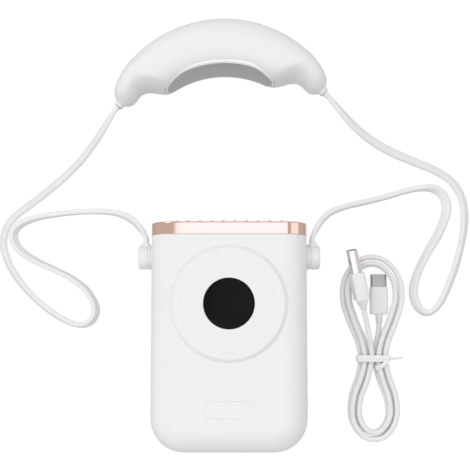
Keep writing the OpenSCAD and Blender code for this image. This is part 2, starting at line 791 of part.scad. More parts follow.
module motor_base() {
    tall = base_z + base_t - tube_z;
    color([0.3, 0.31, 0.33]) translate([0, fan_y, 0]) difference() {
        union() {
            translate([0, 0, base_z]) cylinder(r = can_r + can_t, h = base_t);
            translate([0, 0, tube_z]) cylinder(r = tube_r, h = tall);
        }
        translate([0, 0, tube_z - over]) {
            cylinder(r = bearing_r - 2 * fit, h = tall + 2 * over);
            cylinder(r = bearing_r + run_gap / 4, h = over + bearing_h + 2 * fit);
        }
        translate([0, 0, base_z + base_t - bearing_h - 2 * fit])
            cylinder(r = bearing_r + run_gap / 4, h = bearing_h + 2 * fit + over);
    }
}

module motor_stator() {
    tooth_n = 9;
    hub = tube_r + fit;
    rim = can_r - 1.7 * can_t - magnet_gap;
    low = tube_z + bearing_h;
    tall = base_z - low - 2 * fit;
    tooth = (rim - hub) / 3;
    color([0.72, 0.42, 0.22]) translate([0, fan_y, low]) linear_extrude(tall) {
        difference() {
            circle(hub + tooth);
            circle(hub);
        }
        for (k = [0 : tooth_n - 1]) rotate(360 * k / tooth_n) {
            translate([hub + tooth / 2, -tooth / 2]) square([rim - hub - tooth, tooth]);
            intersection() {
                difference() {
                    circle(rim);
                    circle(rim - tooth * 0.8);
                }
                translate([hub, -1.6 * tooth]) square([rim, 3.2 * tooth]);
            }
        }
    }
}

module battery() {
    tab_w = 8;
    tab_l = 2.4;
    color([0.62, 0.65, 0.70]) translate([0, battery_y, battery_z]) {
        translate([0, battery_l / 2]) linear_extrude(battery_h)
            round_rect(battery_w, battery_l, wall);
        for (side = [-1, 1]) translate([side * battery_w / 6 - tab_w / 2, battery_l - over,
                battery_h / 2])
            cube([tab_w, tab_l + over, fit * 3]);
    }
}

module battery_pad() {
    color([0.2, 0.2, 0.22]) translate([0, battery_y + battery_l / 2, wall + fit / 2])
        linear_extrude(battery_z - wall - fit) round_rect(battery_w * 0.8, battery_l * 0.7, wall);
}

module main_board() {
    top = board_z + board_t;
    color(board_green) translate([0, 0, board_z]) linear_extrude(board_t) difference() {
        polygon([[-tab_half, board_low_y], [tab_half, board_low_y], [tab_half, board_step_y],
            [board_half, board_step_y], [board_half, board_top_y], [-board_half, board_top_y],
            [-board_half, board_step_y], [-tab_half, board_step_y]]);
        for (p = board_posts) translate(p) circle(pilot_r + fit);
        translate([0, fan_y]) circle(scroll_r1 + scroll_t + scroll_near, $fn = 96);
    }
    color([0.15, 0.15, 0.16]) {
        translate([-chip, board_step_y + coil_r, board_z + board_t / 2])
            cylinder(r = coil_r, h = coil_r + board_t / 2);
        for (x = [-3.5, 0.6, 2.2]) translate([x * chip, board_step_y + 0.8 * chip, top - fit])
            cube([chip, chip, chip / 4]);
        translate([-board_half + chip / 2, board_step_y + fit, top - fit])
            cube([chip, 1.6 * chip, 0.8 * chip]);
    }
}

module usb_c_socket() {
    front = y_low + 0.4 * wall;
    skin_t = 0.3;
    color(steel) translate([0, 0, socket_z]) {
        difference() {
            along_y(front, port_l) pill(port_w, port_h);
            along_y(front - over, port_l - 3 * skin_t + over)
                pill(port_w - 2 * skin_t, port_h - 2 * skin_t);
        }
        along_y(front + 2 * skin_t, port_l - 4 * skin_t)
            square([port_w - 8 * skin_t, 2 * skin_t], center = true);
    }
}

module tact_switches() {
    color([0.12, 0.12, 0.13]) for (y = button_ys) {
        translate([switch_x, y - switch_w / 2, board_z + board_t])
            cube([switch_l, switch_w, switch_h]);
        translate([0, y, z_mid]) along_x(switch_x + switch_l - fit,
                plunger_end - switch_x - switch_l + fit)
            square([switch_w * 0.45, switch_h / 2], center = true);
    }
}

module side_button(y) {
    lip_x = side_in - fit - button_lip_t;
    stem_x = plunger_end + button_travel + fit;
    color([0.93, 0.93, 0.94]) translate([0, y, z_mid]) {
        along_x(lip_x, half_w + button_proud - lip_x) pill(button_w, button_h);
        along_x(lip_x, button_lip_t) pill(button_w + 2 * button_lip, button_h + 2 * button_lip);
        along_x(stem_x, lip_x - stem_x + fit)
            square([switch_w * 0.4, switch_h * 0.4], center = true);
    }
}

module power_button() { side_button(button_ys[0]); }

module cooling_button() { side_button(button_ys[1]); }

module screw(head_r, head_h, r, l) {
    drive = head_r * 0.9;
    difference() {
        union() {
            cylinder(r = head_r, h = head_h);
            cylinder(r = r, h = head_h + l);
        }
        for (a = [0, 90]) rotate([0, 0, a]) translate([-drive / 2, -head_h / 8, -over])
            cube([drive, head_h / 4, over + head_h / 2]);
    }
}

module case_screws() {
    color(steel) for (p = screw_spots) translate([p[0], p[1], screw_sink])
        screw(screw_head_r, screw_head_h - fit, screw_r, boss_split);
}

module board_screws() {
    color(steel) {
        for (p = board_posts) translate([p[0], p[1], board_z - small_head_h - fit / 2])
            screw(small_head_r, small_head_h, pilot_r, 3 * post_r);
        for (p = face_posts)
            translate([p[0], fan_y + p[1], face_board_z - small_head_h - fit / 2])
            screw(small_head_r, small_head_h, pilot_r, 2.2 * post_r);
    }
}

module knuckle(side) {
    bore_end = collar_x - trunnion_end;
    color([0.93, 0.93, 0.94]) difference() {
        union() {
            translate([0, puck_y, z_mid]) rotate([0, side * 90, 0]) {
                translate([0, 0, trunnion_end])
                    cylinder(r = trunnion_r, h = puck_x - trunnion_end + over);
                translate([0, 0, puck_x]) rotate_extrude() {
                    square([puck_r - puck_round, puck_l]);
                    square([puck_r, puck_l - puck_round]);
                    translate([puck_r - puck_round, puck_l - puck_round]) intersection() {
                        circle(puck_round);
                        square(puck_round);
                    }
                }
            }
            translate([side * collar_x, 0, z_mid]) along_y(puck_y, puck_r + collar_h)
                round_rect(collar_t, collar_w, collar_t / 3);
        }
        translate([0, puck_y, z_mid]) rotate([0, side * 90, 0]) {
            translate([0, 0, trunnion_end - over]) cylinder(r = wire_r, h = bore_end + over);
            translate([0, 0, clip_x - fit]) difference() {
                cylinder(r = trunnion_r + over, h = clip_t + 2 * fit);
                translate([0, 0, -over])
                    cylinder(r = 0.8 * trunnion_r, h = clip_t + 2 * fit + 2 * over);
            }
        }
        translate([side * collar_x, puck_y, z_mid]) rotate([-90, 0, 0])
            cylinder(r = 0.8 * wire_r, h = puck_r + collar_h + over);
    }
}

module left_knuckle() { knuckle(-1); }

module right_knuckle() { knuckle(1); }

// A spring clip in the trunnion's groove keeps the knuckle in the shells
module clip(side) {
    mouth = trunnion_r * 1.2;
    color(steel) translate([0, puck_y, z_mid]) rotate([0, side * 90, 0])
        translate([0, 0, clip_x]) difference() {
            cylinder(r = trunnion_r * 1.45, h = clip_t);
            translate([0, 0, -over])
                cylinder(r = 0.8 * trunnion_r + fit / 2, h = clip_t + 2 * over);
            translate([0, -mouth / 2, -over]) cube([2 * trunnion_r, mouth, clip_t + 2 * over]);
        }
}

module left_clip() { clip(-1); }

module right_clip() { clip(1); }

// A flat lead: a strip with bevelled edges, swept along its route and leaning as it goes
function strip_ring(route, i) = let (
    path = [for (p = route) [p[0], p[1], p[2]]],
    t = heading(path, i),
    s0 = across(t),
    u0 = cross(s0, t),
    lean = route[i][3],
    s = s0 * cos(lean) + u0 * sin(lean),
    u = u0 * cos(lean) - s0 * sin(lean),
    a = lead_t / 2,
    b = lead_w / 2,
    c = lead_chamfer)
    [for (q = [[a, b - c], [a - c, b], [c - a, b], [-a, b - c], [-a, c - b], [c - a, -b],
        [a - c, -b], [a, c - b]]) path[i] + s * q[0] + u * q[1]];

module lead(route) {
    color(white) skin([for (i = [0 : len(route) - 1]) strip_ring(route, i)]);
}

module left_strap() { lead(left_route); }

module right_strap() { lead(right_route); }

// Everything in the neck pad is drawn about the centre of the neck
module in_pad() { translate([pad_x, pad_y, 0]) rotate([0, 0, pad_turn]) children(); }

module at_tip(side) {
    translate([side * boot_r * sin(boot_angle), boot_r * cos(boot_angle), pad_mid])
        rotate([0, 0, -side * (90 + boot_angle - boot_out)]) children();
}

module boot(side, grow) {
    root = boot_l - boot_show;
    at_tip(side) along_y(-root, boot_l + boot_show)
        round_rect(boot_t + 2 * grow, boot_w + 2 * grow, boot_t / 3);
}

module left_boot() { color(white) in_pad() boot(-1, 0); }

module right_boot() { color(white) in_pad() boot(1, 0); }

// One station of the pad: a rounded oval across the band at this angle about the neck
function pad_ring(i) = let (
    k = abs(i) ,
    a = sign(i) * pad_angles[k],
    r_in = pad_r * pad_in_shares[k],
    r_out = pad_r * pad_out_shares[k],
    tall = pad_mid * pad_high_shares[k])
    [for (j = [0 : pad_round_n - 1]) let (
        w = 360 * j / pad_round_n,
        r = (r_in + r_out) / 2
            + (r_out - r_in) / 2 * sign(cos(w)) * pow(abs(cos(w)), 2 / pad_square),
        z = pad_mid + tall * sign(sin(w)) * pow(abs(sin(w)), 2 / pad_square))
        [r * sin(a), r * cos(a), z]];

module plate_prism(grow, y_from, y_to) {
    translate([0, 0, pad_mid]) along_y(y_from, y_to - y_from)
        pill(2 * (bezel_half + grow), 2 * (bezel_rise + grow));
}

// A strip that bends across the neck and is crowned along it
module crowned(front, back) {
    turn = 36;
    centre_r = plate_bend_r + plate_crown_r;
    translate([0, plate_c, pad_mid]) rotate([0, 0, 90 - turn]) rotate_extrude(angle = 2 * turn)
        intersection() {
            translate([centre_r, 0]) difference() {
                circle(plate_crown_r + front, $fn = 96);
                circle(plate_crown_r - back, $fn = 96);
            }
            translate([plate_bend_r - 2 * front - wall, -bezel_rise - wall])
                square([plate_crown_r, 2 * (bezel_rise + wall)]);
        }
}

module pad_shell() {
    last = len(pad_angles) - 1;
    color(white) in_pad() difference() {
        skin([for (i = [last : -1 : -last]) pad_ring(i)]);
        intersection() {
            plate_prism(fit, 0, window_y);
            crowned(2 * wall, bezel_t + fit);
        }
        translate([-pocket_half, plate_y - 2 * wall, pad_mid - pocket_rise])
            cube([2 * pocket_half, pocket_y - plate_y + 2 * wall, 2 * pocket_rise]);
        boot(-1, fit / 2);
        boot(1, fit / 2);
    }
}

module plate_bezel() {
    color(steel) in_pad() intersection() {
        crowned(bezel_proud, bezel_t);
        difference() {
            plate_prism(0, 0, window_y);
            plate_prism(-bezel_w, -over, window_y + over);
        }
    }
}

module cold_plate() {
    color([0.62, 0.63, 0.65]) in_pad() {
        intersection() {
            crowned(0, plate_t);
            plate_prism(-bezel_w - fit / 2, 0, window_y);
        }
        translate([-chip_w / 2, plate_y + plate_t / 2, pad_mid - chip_w / 2])
            cube([chip_w, chip_y - fit - plate_y - plate_t / 2, chip_w]);
        for (side = [-1, 1]) translate([side * sink_screw_x, plate_y - plate_t / 2, pad_mid])
            rotate([-90, 0, 0]) difference() {
                cylinder(r = post_r, h = sink_y - fit - plate_y + plate_t / 2);
                translate([0, 0, plate_t])
                    cylinder(r = pilot_r + fit / 2, h = sink_y - plate_y + plate_t);
            }
    }
}

module cooler_chip() {
    color([0.95, 0.95, 0.92]) in_pad()
        translate([-chip_w / 2, chip_y, pad_mid - chip_w / 2]) cube([chip_w, chip_t, chip_w]);
}

module heat_sink() {
    pitch = (2 * sink_half - fin_t) / (fin_n - 1);
    rise = 2 * chip_w / 3 - fit;
    color([0.5, 0.52, 0.55]) in_pad() difference() {
        union() {
            translate([-sink_half, sink_y, pad_mid - rise])
                cube([2 * sink_half, sink_base, 2 * rise]);
            for (i = [0 : fin_n - 1]) translate([-sink_half + i * pitch, sink_y, pad_mid - rise])
                cube([fin_t, sink_base + fin_h, 2 * rise]);
        }
        for (side = [-1, 1]) translate([side * sink_screw_x, sink_y - over, pad_mid])
            rotate([-90, 0, 0]) {
                cylinder(r = pilot_r + fit, h = sink_base + 2 * over);
                translate([0, 0, sink_base + over]) cylinder(r = small_head_r + fit, h = 2 * fin_h);
            }
    }
}

module sink_screws() {
    color(steel) in_pad() for (side = [-1, 1])
        translate([side * sink_screw_x, sink_y + sink_base + small_head_h + fit / 2, pad_mid])
        rotate([90, 0, 0]) screw(small_head_r, small_head_h, pilot_r, 2.6 * post_r);
}

module pad_board() {
    rise = 0.55 * chip_w;
    color(board_green) in_pad() translate([-0.75 * chip_w, pocket_y - fit - pad_board_t,
            pad_mid - rise])
        cube([1.5 * chip_w, pad_board_t, 2 * rise]);
}

// The hank: a is the angle run through, from the first pass of the waist to the last. Each
// strand lies square to the innermost one's run, one step further out for every loop.
hank_mid = (hank_from + hank_to) / 2;
function hank_out(a) = (hank_to - hank_mid - abs(a - hank_mid)) / 360;
function ease(s) = (1 - cos(180 * min(max(s, 0), 1))) / 2;
function hank_spread(c) = c > waist_c
    ? top_wide * ease((c - waist_c) / (1 - waist_c))
    : low_wide * ease((waist_c - c) / (1 + waist_c));
function hank_base(a) =
    [-sin(a) * (waist_half + hank_spread(cos(a))), hank_half * cos(a), 0];
function hank_flat(a) = hank_base(a)
    + cross(unit(hank_base(a + 1) - hank_base(a - 1)), [0, 0, 1]) * strand_step * hank_out(a);
function hank_point(a) = let (
    p = hank_flat(a) + [hank_x, hank_y, 0],
    up = 1 - ease((a - hank_mid + 90) / 180),
    lift = tie_lift * exp(-pow((p[1] - waist_y) / (4 * tie_w), 2)))
    [p[0], p[1], floor_gap + cable_d / 2 + layer_z * up + lift];
hank_steps = round((hank_to - hank_from) / 360 * loop_rings);
cable_path = concat(lead_in,
    [for (i = [0 : hank_steps]) hank_point(hank_from + (hank_to - hank_from) * i / hank_steps)],
    lead_out);

// Least gap of the cable to itself, from each point to each stretch that is not its own
function reach(p, a, b) = let (
    s = min(max((p - a) * (b - a) / ((b - a) * (b - a)), 0), 1)) norm(p - a - (b - a) * s);
function least_gap(path, skip) = min([for (i = [0 : len(path) - 1], j = [0 : len(path) - 2])
    if (j > i + skip || j + 1 < i - skip) reach(path[i], path[j], path[j + 1])]) - cable_d;
function run_length(path) = [for (i = [1 : len(path) - 1]) 1]
    * [for (i = [1 : len(path) - 1]) norm(path[i] - path[i - 1])];
union() {  // cable_hank
    echo(least_gap_of_cable = least_gap(cable_path, 3), length_of_cable = run_length(cable_path));
}

function round_ring(path, i, r, sides) = let (
    t = heading(path, i), s = across(t), u = cross(s, t))
    [for (j = [0 : sides - 1]) path[i] + s * r * cos(360 * j / sides)
        + u * r * sin(360 * j / sides)];

module cable_hank() {
    color(white) skin([for (i = [0 : len(cable_path) - 1])
        round_ring(cable_path, i, cable_d / 2, cable_sides)]);
}

module cable_tie() {
    tall = layer_z + cable_d + 6 * fit;
    low = floor_gap + tie_lift - fit;
    tail_l = 7;
    color([0.9, 0.9, 0.9]) translate([hank_x, 0, low + tall / 2]) {
        along_y(waist_y - tie_w / 2, tie_w) difference() {
            round_rect(2 * tie_half + 2 * tie_t, tall + 2 * tie_t, cable_d / 2);
            round_rect(2 * tie_half, tall, cable_d / 2 - tie_t);
        }
        translate([tie_half, waist_y - tie_t, tall / 2 - tie_t]) cube([tail_l, 2 * tie_t, 2 * tie_t]);
    }
}

// A plug is drawn along +Y from where its cord leaves it
module laid(at, lean, rise) { translate(at) rotate([rise, 0, lean]) children(); }

module usb_a() { laid(usb_a_at, usb_a_lean, usb_a_rise) children(); }

module usb_a_shell() {
    front = usb_a_relief_l + usb_a_body_l;
    color(steel) usb_a() {
        difference() {
            along_y(front, usb_a_l) round_rect(usb_a_t, usb_a_w, usb_a_wall);
            along_y(front + usb_a_wall, usb_a_l)
                square([usb_a_t - 2 * usb_a_wall, usb_a_w - 2 * usb_a_wall], center = true);
        }
        translate([usb_a_wall / 2 - usb_a_t / 2, front, usb_a_wall - usb_a_w / 2])
            cube([usb_a_t * 0.42, usb_a_l - 2 * usb_a_wall, usb_a_w - 2 * usb_a_wall]);
    }
}

module usb_a_body() {
    color(white) usb_a() along_y(usb_a_relief_l, usb_a_body_l)
        round_rect(usb_a_body_t, usb_a_body_w, usb_a_body_t / 4);
}

module usb_a_relief() {
    thin = 0.8;
    color(white) usb_a() difference() {
        union() {
            along_y(usb_a_relief_l / 2, usb_a_relief_l / 2)
                round_rect(usb_a_relief_w, 1.5 * usb_a_relief_w, usb_a_relief_w / 4);
            along_y(0, usb_a_relief_l / 2) circle(usb_a_relief_w * thin / 2);
        }
    }
}

module usb_c() { laid(usb_c_at, usb_c_lean, 0) children(); }

module usb_c_tip() {
    front = usb_c_relief_l + usb_c_body_l;
    color(steel) usb_c() {
        difference() {
            along_y(front, usb_c_l) pill(usb_c_w, usb_c_t);
            along_y(front + usb_c_wall, usb_c_l)
                pill(usb_c_w - 2 * usb_c_wall, usb_c_t - 2 * usb_c_wall);
        }
    }
}

module usb_c_body() {
    color(white) usb_c() along_y(usb_c_relief_l, usb_c_body_l)
        round_rect(usb_c_body_w, usb_c_body_t, usb_c_body_t / 3);
}

module usb_c_relief() {
    color(white) usb_c() along_y(0, usb_c_relief_l) circle(usb_c_relief_w / 2);
}

front_shell();
back_shell();
top_trim();
outlet_grille();
intake_guard();
front_disc();
display_window();
display_module();
display_board();
scroll_case();
scroll_lid();
impeller();
rotor_can();
motor_shaft();
motor_bearings();
motor_stator();
motor_base();
battery();
battery_pad();
main_board();
usb_c_socket();
tact_switches();
power_button();
cooling_button();
case_screws();
board_screws();
left_knuckle();
right_knuckle();
left_clip();
right_clip();
left_strap();
right_strap();
left_boot();
right_boot();
pad_shell();
plate_bezel();
cold_plate();
cooler_chip();
heat_sink();
sink_screws();
pad_board();
cable_hank();
cable_tie();
usb_a_shell();
usb_a_body();
usb_a_relief();
usb_c_tip();
usb_c_body();
usb_c_relief();
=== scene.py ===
import bpy
import numpy as np
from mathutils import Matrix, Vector


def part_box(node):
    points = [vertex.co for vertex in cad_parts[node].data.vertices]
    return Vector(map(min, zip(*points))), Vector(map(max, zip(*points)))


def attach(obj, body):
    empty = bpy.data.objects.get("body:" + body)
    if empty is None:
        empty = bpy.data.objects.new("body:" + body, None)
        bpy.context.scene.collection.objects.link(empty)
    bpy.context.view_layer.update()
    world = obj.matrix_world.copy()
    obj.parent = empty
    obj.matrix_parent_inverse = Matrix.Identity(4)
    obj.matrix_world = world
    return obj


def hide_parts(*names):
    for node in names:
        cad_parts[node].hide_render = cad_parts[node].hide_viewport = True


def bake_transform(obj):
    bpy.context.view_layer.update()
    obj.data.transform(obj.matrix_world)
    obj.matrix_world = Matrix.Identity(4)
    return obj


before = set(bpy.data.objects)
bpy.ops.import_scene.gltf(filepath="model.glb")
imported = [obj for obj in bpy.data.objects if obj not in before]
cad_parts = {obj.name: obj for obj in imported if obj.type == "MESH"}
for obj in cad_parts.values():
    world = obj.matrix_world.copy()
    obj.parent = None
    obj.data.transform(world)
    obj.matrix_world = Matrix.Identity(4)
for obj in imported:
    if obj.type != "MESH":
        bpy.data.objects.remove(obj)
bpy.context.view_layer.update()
mm = 0.001

# Table, lamps and camera. The fan lies on a plain white table that glows a little, in a white room
# that is a little darker below, with two lamps overhead and weak ones at the far left, the left
# and the right. The camera looks down on it from 63 cm, tilted a little back.
table_half = 1.6


def placed(name, data):
    """A new object with that name and data, put into the scene."""
    obj = bpy.data.objects.new(name, data)
    bpy.context.collection.objects.link(obj)
    return obj


def tune(node, values):
    """Sets a node's sockets, each found by its name or number, to fixed values."""
    for socket, value in values.items():
        node.inputs[socket].default_value = value


table = placed("table", bpy.data.meshes.new("table"))
table.data.from_pydata([(x * table_half, y * table_half, 0)
                        for x, y in ((-1, -1), (1, -1), (1, 1), (-1, 1))], [], [(0, 1, 2, 3)])
table_paint = bpy.data.materials.new("table_paint")
table_paint.use_nodes = True
tune(table_paint.node_tree.nodes["Principled BSDF"], {
    "Base Color": (0.3, 0.3, 0.3, 1), "Roughness": 0.9, "Specular IOR Level": 0.1,
    "Emission Color": (1, 1, 1, 1), "Emission Strength": 0.8})
table.data.materials.append(table_paint)
table.visible_glossy = False
table.visible_diffuse = False

scene = bpy.context.scene
scene.view_settings.view_transform = "Standard"
scene.world = bpy.data.worlds.new("room")
scene.world.use_nodes = True
room = scene.world.node_tree
room_light = room.nodes["Background"]
direction, parts, height = (room.nodes.new("ShaderNode" + kind)
                            for kind in ("TexCoord", "SeparateXYZ", "MapRange"))
tune(room_light, {"Color": (1, 1, 1, 1)})
tune(height, {"From Min": -0.6, "From Max": 0, "To Min": 0.56, "To Max": 0.7})
room.links.new(direction.outputs["Generated"], parts.inputs["Vector"])
room.links.new(parts.outputs["Z"], height.inputs["Value"])
room.links.new(height.outputs["Result"], room_light.inputs["Strength"])

aim = Vector((0, 0.02, 0))


def lamp(name, place, wide, long, power, turned_to=aim, tint=(1, 1, 1)):
    """A lamp wide across and long the other way at place, facing the fan or another point."""
    data = bpy.data.lights.new(name, "AREA")
    data.shape = "RECTANGLE"
    data.size = wide
    data.size_y = long
    data.energy = power
    data.color = tint
    obj = placed(name, data)
    obj.location = place
    obj.rotation_euler = (Vector(turned_to) - Vector(place)).to_track_quat("-Z", "Y").to_euler()


lamp("over_lamp", (0.105, 0.25, 1.3), 0.39, 1.3, 2.1, (0.105, 0.25, 0), (0.84, 0.78, 1))
lamp("top_lamp", (-0.1, -0.3, 1.3), 0.7, 0.5, 2.15, (-0.1, -0.3, 0), (1, 1, 0.91))
lamp("far_lamp", (-0.6, 0.95, 0.95), 0.6, 0.6, 3.4, tint=(1, 1, 0.94))
lamp("left_lamp", (-0.95, -0.35, 0.6), 0.6, 0.6, 1.6)
lamp("right_lamp", (1.05, 0.25, 0.8), 0.5, 1, 1.1, (0, 0.25, 0.03))

photo_side, focal_pixels = 470, 1195
camera_place, camera_tilt = (0.003, -0.0172, 0.6301), np.radians(6.5)
camera_data = bpy.data.cameras.new("camera")
camera_data.sensor_width = 36
camera_data.lens = camera_data.sensor_width * focal_pixels / photo_side
camera_data.clip_start = 0.01
camera = placed("camera", camera_data)
camera.location = camera_place
camera.rotation_euler = (camera_tilt, 0, 0)
scene.camera = camera

# The two leads: flat 5 x 2.6 mm silicone-covered cords with rounded edges, moulded into the
# knuckles and the neck pad. They rise from the table at both ends and lean over in their bends.
# Each point of a route is (x, y, z) in millimetres and the lean there in degrees.
left_route = [
    (-58.2, 119.9, 18, 0), (-60, 117.5, 17.9, 10), (-65, 109.3, 17, 28), (-71, 100.8, 14.4, 36),
    (-78, 92.6, 11.2, 42), (-86, 85.2, 7.8, 42), (-95, 78.2, 4.8, 42), (-104, 71.4, 3.2, 38),
    (-111.8, 65.6, 2.8, 34), (-116.4, 60.6, 2.8, 34), (-118.8, 55, 2.8, 34),
    (-119.2, 48.6, 2.8, 34), (-117.2, 41.4, 2.8, 34), (-113.4, 34.2, 2.8, 30),
    (-108, 27, 2.8, 22), (-101.4, 20.2, 2.8, 16), (-94, 14.2, 2.8, 16), (-86.4, 9.5, 2.8, 12),
    (-80, 7.1, 2.8, 6), (-74.8, 7.4, 2.8, 14), (-71.2, 10.4, 2.8, 26), (-70, 15, 2.8, 32),
    (-71.8, 20.2, 2.8, 24), (-76, 26, 2.8, 20), (-83.6, 31.6, 2.8, 16), (-92.4, 36, 2.8, 16),
    (-101, 40, 2.8, 22), (-108.4, 44.6, 2.8, 32), (-112.6, 49, 2.8, 36), (-114, 53.8, 2.8, 34),
    (-112.4, 58, 2.8, 26), (-108, 61.2, 2.8, 14), (-101, 63.6, 2.8, 6), (-92, 65.2, 3, 2),
    (-80, 66.2, 5, 0), (-68, 66, 8.6, 2), (-58, 64.4, 12.2, 10), (-50.4, 60.6, 14.8, 22),
    (-45.4, 55.4, 16.4, 14), (-43, 51.2, 17, 0), (-43, 48.4, 17, 0)]
right_route = [
    (50, 127.1, 18, 0), (52.2, 124.8, 17.9, -10), (58.4, 117.6, 16.8, -30),
    (66.4, 109.6, 13.8, -46), (76.4, 102.6, 10, -58), (87.6, 97.2, 6.4, -60),
    (99.4, 92.8, 3.8, -54), (109.6, 88.6, 2.9, -48), (117.2, 83.6, 2.8, -46),
    (122.2, 76.6, 2.8, -48), (124.4, 67.6, 2.8, -40), (124, 57.6, 2.8, -36),
    (122, 47.6, 2.8, -30), (119.2, 37.6, 2.8, -32), (115.4, 27.8, 2.8, -30),
    (111.6, 19.8, 2.8, -26), (108, 15.2, 2.8, -16), (104.4, 13.2, 2.8, -14),
    (100.8, 14.2, 2.8, -20), (98, 17.8, 2.8, -36), (96.8, 23.2, 2.8, -38),
    (97.4, 29.4, 2.8, -36), (100.6, 37.6, 2.8, -30), (105.2, 46.2, 2.8, -36),
    (109.8, 53.8, 2.8, -46), (113.2, 61.2, 2.8, -52), (115, 68.2, 2.8, -56),
    (113.6, 74.8, 2.8, -50), (109.2, 78.6, 2.8, -32), (102.8, 79.4, 2.8, -12),
    (94, 77.8, 2.9, -4), (82, 74.2, 4.2, -6), (70, 70.8, 7.6, -6), (60, 68, 11.2, -6),
    (51.6, 64, 14.2, -12), (46, 57.6, 16, -10), (43, 51.2, 17, 0), (43, 48.4, 17, 0)]
lead_w, lead_t, lead_round = 5 * mm, 2.6 * mm, 0.8 * mm


def smooth_run(points, per_span=10):
    """A curve through the points: on each span the cubic whose slope at an end is half the
    difference of that point's two neighbours, sampled per_span times."""
    p = np.asarray(points, float)
    ends = np.vstack([2 * p[0] - p[1], p, 2 * p[-1] - p[-2]])
    t = (np.arange(per_span) / per_span)[None, :, None]
    a, b, c, d = (ends[i:len(ends) - 3 + i, None, :] for i in range(4))
    run = 0.5 * (2 * b + (c - a) * t + (2 * a - 5 * b + 4 * c - d) * t ** 2
                 + (3 * b - a - 3 * c + d) * t ** 3)
    return np.vstack([run.reshape(-1, p.shape[1]), p[-1:]])


def unit(v):
    """The vectors in v, each scaled to length one."""
    return v / np.linalg.norm(v, axis=-1, keepdims=True)


def arc(x, y, r, start, end, n):
    """n points on the circle of radius r about (x, y), from start to end degrees."""
    a = np.radians(np.linspace(start, end, n))
    return np.stack([x + r * np.cos(a), y + r * np.sin(a)], axis=1)


corners = ((1, 1, 0), (-1, 1, 90), (-1, -1, 180), (1, -1, 270))


def round_rect(w, h, r, per_corner=5):
    """Corner arcs of radius r, joined by straight sides, of a w x h outline about (0, 0)."""
    return np.vstack([arc(sx * (w / 2 - r), sy * (h / 2 - r), r, start, start + 90, per_corner)
                      for sx, sy, start in corners])


def woven(name, rows, along=False):
    """A closed piece from an n x m x 3 array: each row is a ring, joined to the next by quads.
    The last ring meets the first if along is true, and otherwise both end rings are filled.
    Its faces are turned so that the volume they enclose, a sum of p0 . (p1 x p2), is positive."""
    rows = np.asarray(rows, float)
    n, m = rows.shape[:2]
    points = rows.reshape(-1, 3)
    i = np.arange(n if along else n - 1)[:, None] * m
    j = np.arange(m)[None, :]
    k = (j + 1) % m
    up = (i + m) % (n * m)
    quads = np.stack([i + j, i + k, up + k, up + j], axis=-1).reshape(-1, 4)
    caps = [] if along else [np.arange(m)[::-1], np.arange(m) + (n - 1) * m]
    return closed_piece(name, points, quads, caps)


def closed_piece(name, points, quads, caps=()):
    """A mesh of quads and flat caps, its faces turned outwards by the sign of its volume."""
    q = points[quads] - points.mean(axis=0)
    volume = np.einsum("ij,ij->", q[:, 0], np.cross(q[:, 1], q[:, 2]) + np.cross(q[:, 2], q[:, 3]))
    for cap in caps:
        c = points[cap] - points.mean(axis=0)
        volume += np.einsum("j,ij->", c[0], np.cross(c[1:-1], c[2:]))
    faces = quads.tolist() + [[int(v) for v in cap] for cap in caps]
    if volume < 0:
        faces = [f[::-1] for f in faces]
    mesh = bpy.data.meshes.new(name)
    mesh.from_pydata(points.tolist(), [], faces)
    return placed(name, mesh)


def carried(line, section, lean=0):
    """The section's points at each point of the line. Their first value lies level beside the
    line and their second over it, and both directions are turned about the line by lean."""
    ahead = unit(np.gradient(line, axis=0))
    beside = unit(np.cross(ahead, [0, 0, 1]))
    over = np.cross(beside, ahead)
    c, s = np.cos(lean), np.sin(lean)
    return (line[:, None] + section[:, :1] * (beside * c + over * s)[:, None]
            + section[:, 1:] * (over * c - beside * s)[:, None])


rough_drift = 0.12


def painted(name, colour, rough, metal=0, mottle=0.03, cloud=40, grain=2600, relief=0.02,
            gloss=0.25):
    """Moulded or plated finish: colour drifts by mottle in soft clouds, roughness varies with
    them, and a fine grain of that frequency stands up by relief in the bump. The gloss is the
    strength of the reflection on what isn't metal."""
    material = bpy.data.materials.new(name)
    material.use_nodes = True
    nodes = material.node_tree.nodes
    shader = nodes["Principled BSDF"]
    place, clouds, drift, shine, pores, bump = (
        nodes.new("ShaderNode" + kind)
        for kind in ("TexCoord", "TexNoise", "Mix", "MapRange", "TexNoise", "Bump"))
    drift.data_type = "RGBA"
    tune(shader, {"Metallic": metal, "Specular IOR Level": gloss})
    tune(clouds, {"Scale": cloud, "Detail": 3})
    tune(drift, {6: [c * (1 - mottle) for c in colour] + [1],
                 7: [min(1, c * (1 + mottle)) for c in colour] + [1]})
    tune(shine, {"To Min": rough * (1 - rough_drift), "To Max": min(1, rough * (1 + rough_drift))})
    tune(pores, {"Scale": grain, "Detail": 2})
    tune(bump, {"Strength": 0.5, "Distance": relief * mm})
    for source, into in ((place.outputs["Object"], clouds.inputs["Vector"]),
                         (clouds.outputs["Fac"], drift.inputs[0]),
                         (drift.outputs[2], shader.inputs["Base Color"]),
                         (clouds.outputs["Fac"], shine.inputs["Value"]),
                         (shine.outputs["Result"], shader.inputs["Roughness"]),
                         (place.outputs["Object"], pores.inputs["Vector"]),
                         (pores.outputs["Fac"], bump.inputs["Height"]),
                         (bump.outputs["Normal"], shader.inputs["Normal"])):
        material.node_tree.links.new(source, into)
    return material


def dress(obj, material, node=None, body="root", sharp=32):
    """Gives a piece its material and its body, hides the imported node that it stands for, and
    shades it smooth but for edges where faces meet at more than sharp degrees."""
    obj.data.polygons.foreach_set("use_smooth", np.ones(len(obj.data.polygons), bool))
    obj.data.set_sharp_from_angle(angle=np.radians(sharp))
    obj.data.materials.clear()
    obj.data.materials.append(material)
    if body:
        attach(obj, body)
    if node:
        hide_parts(node)


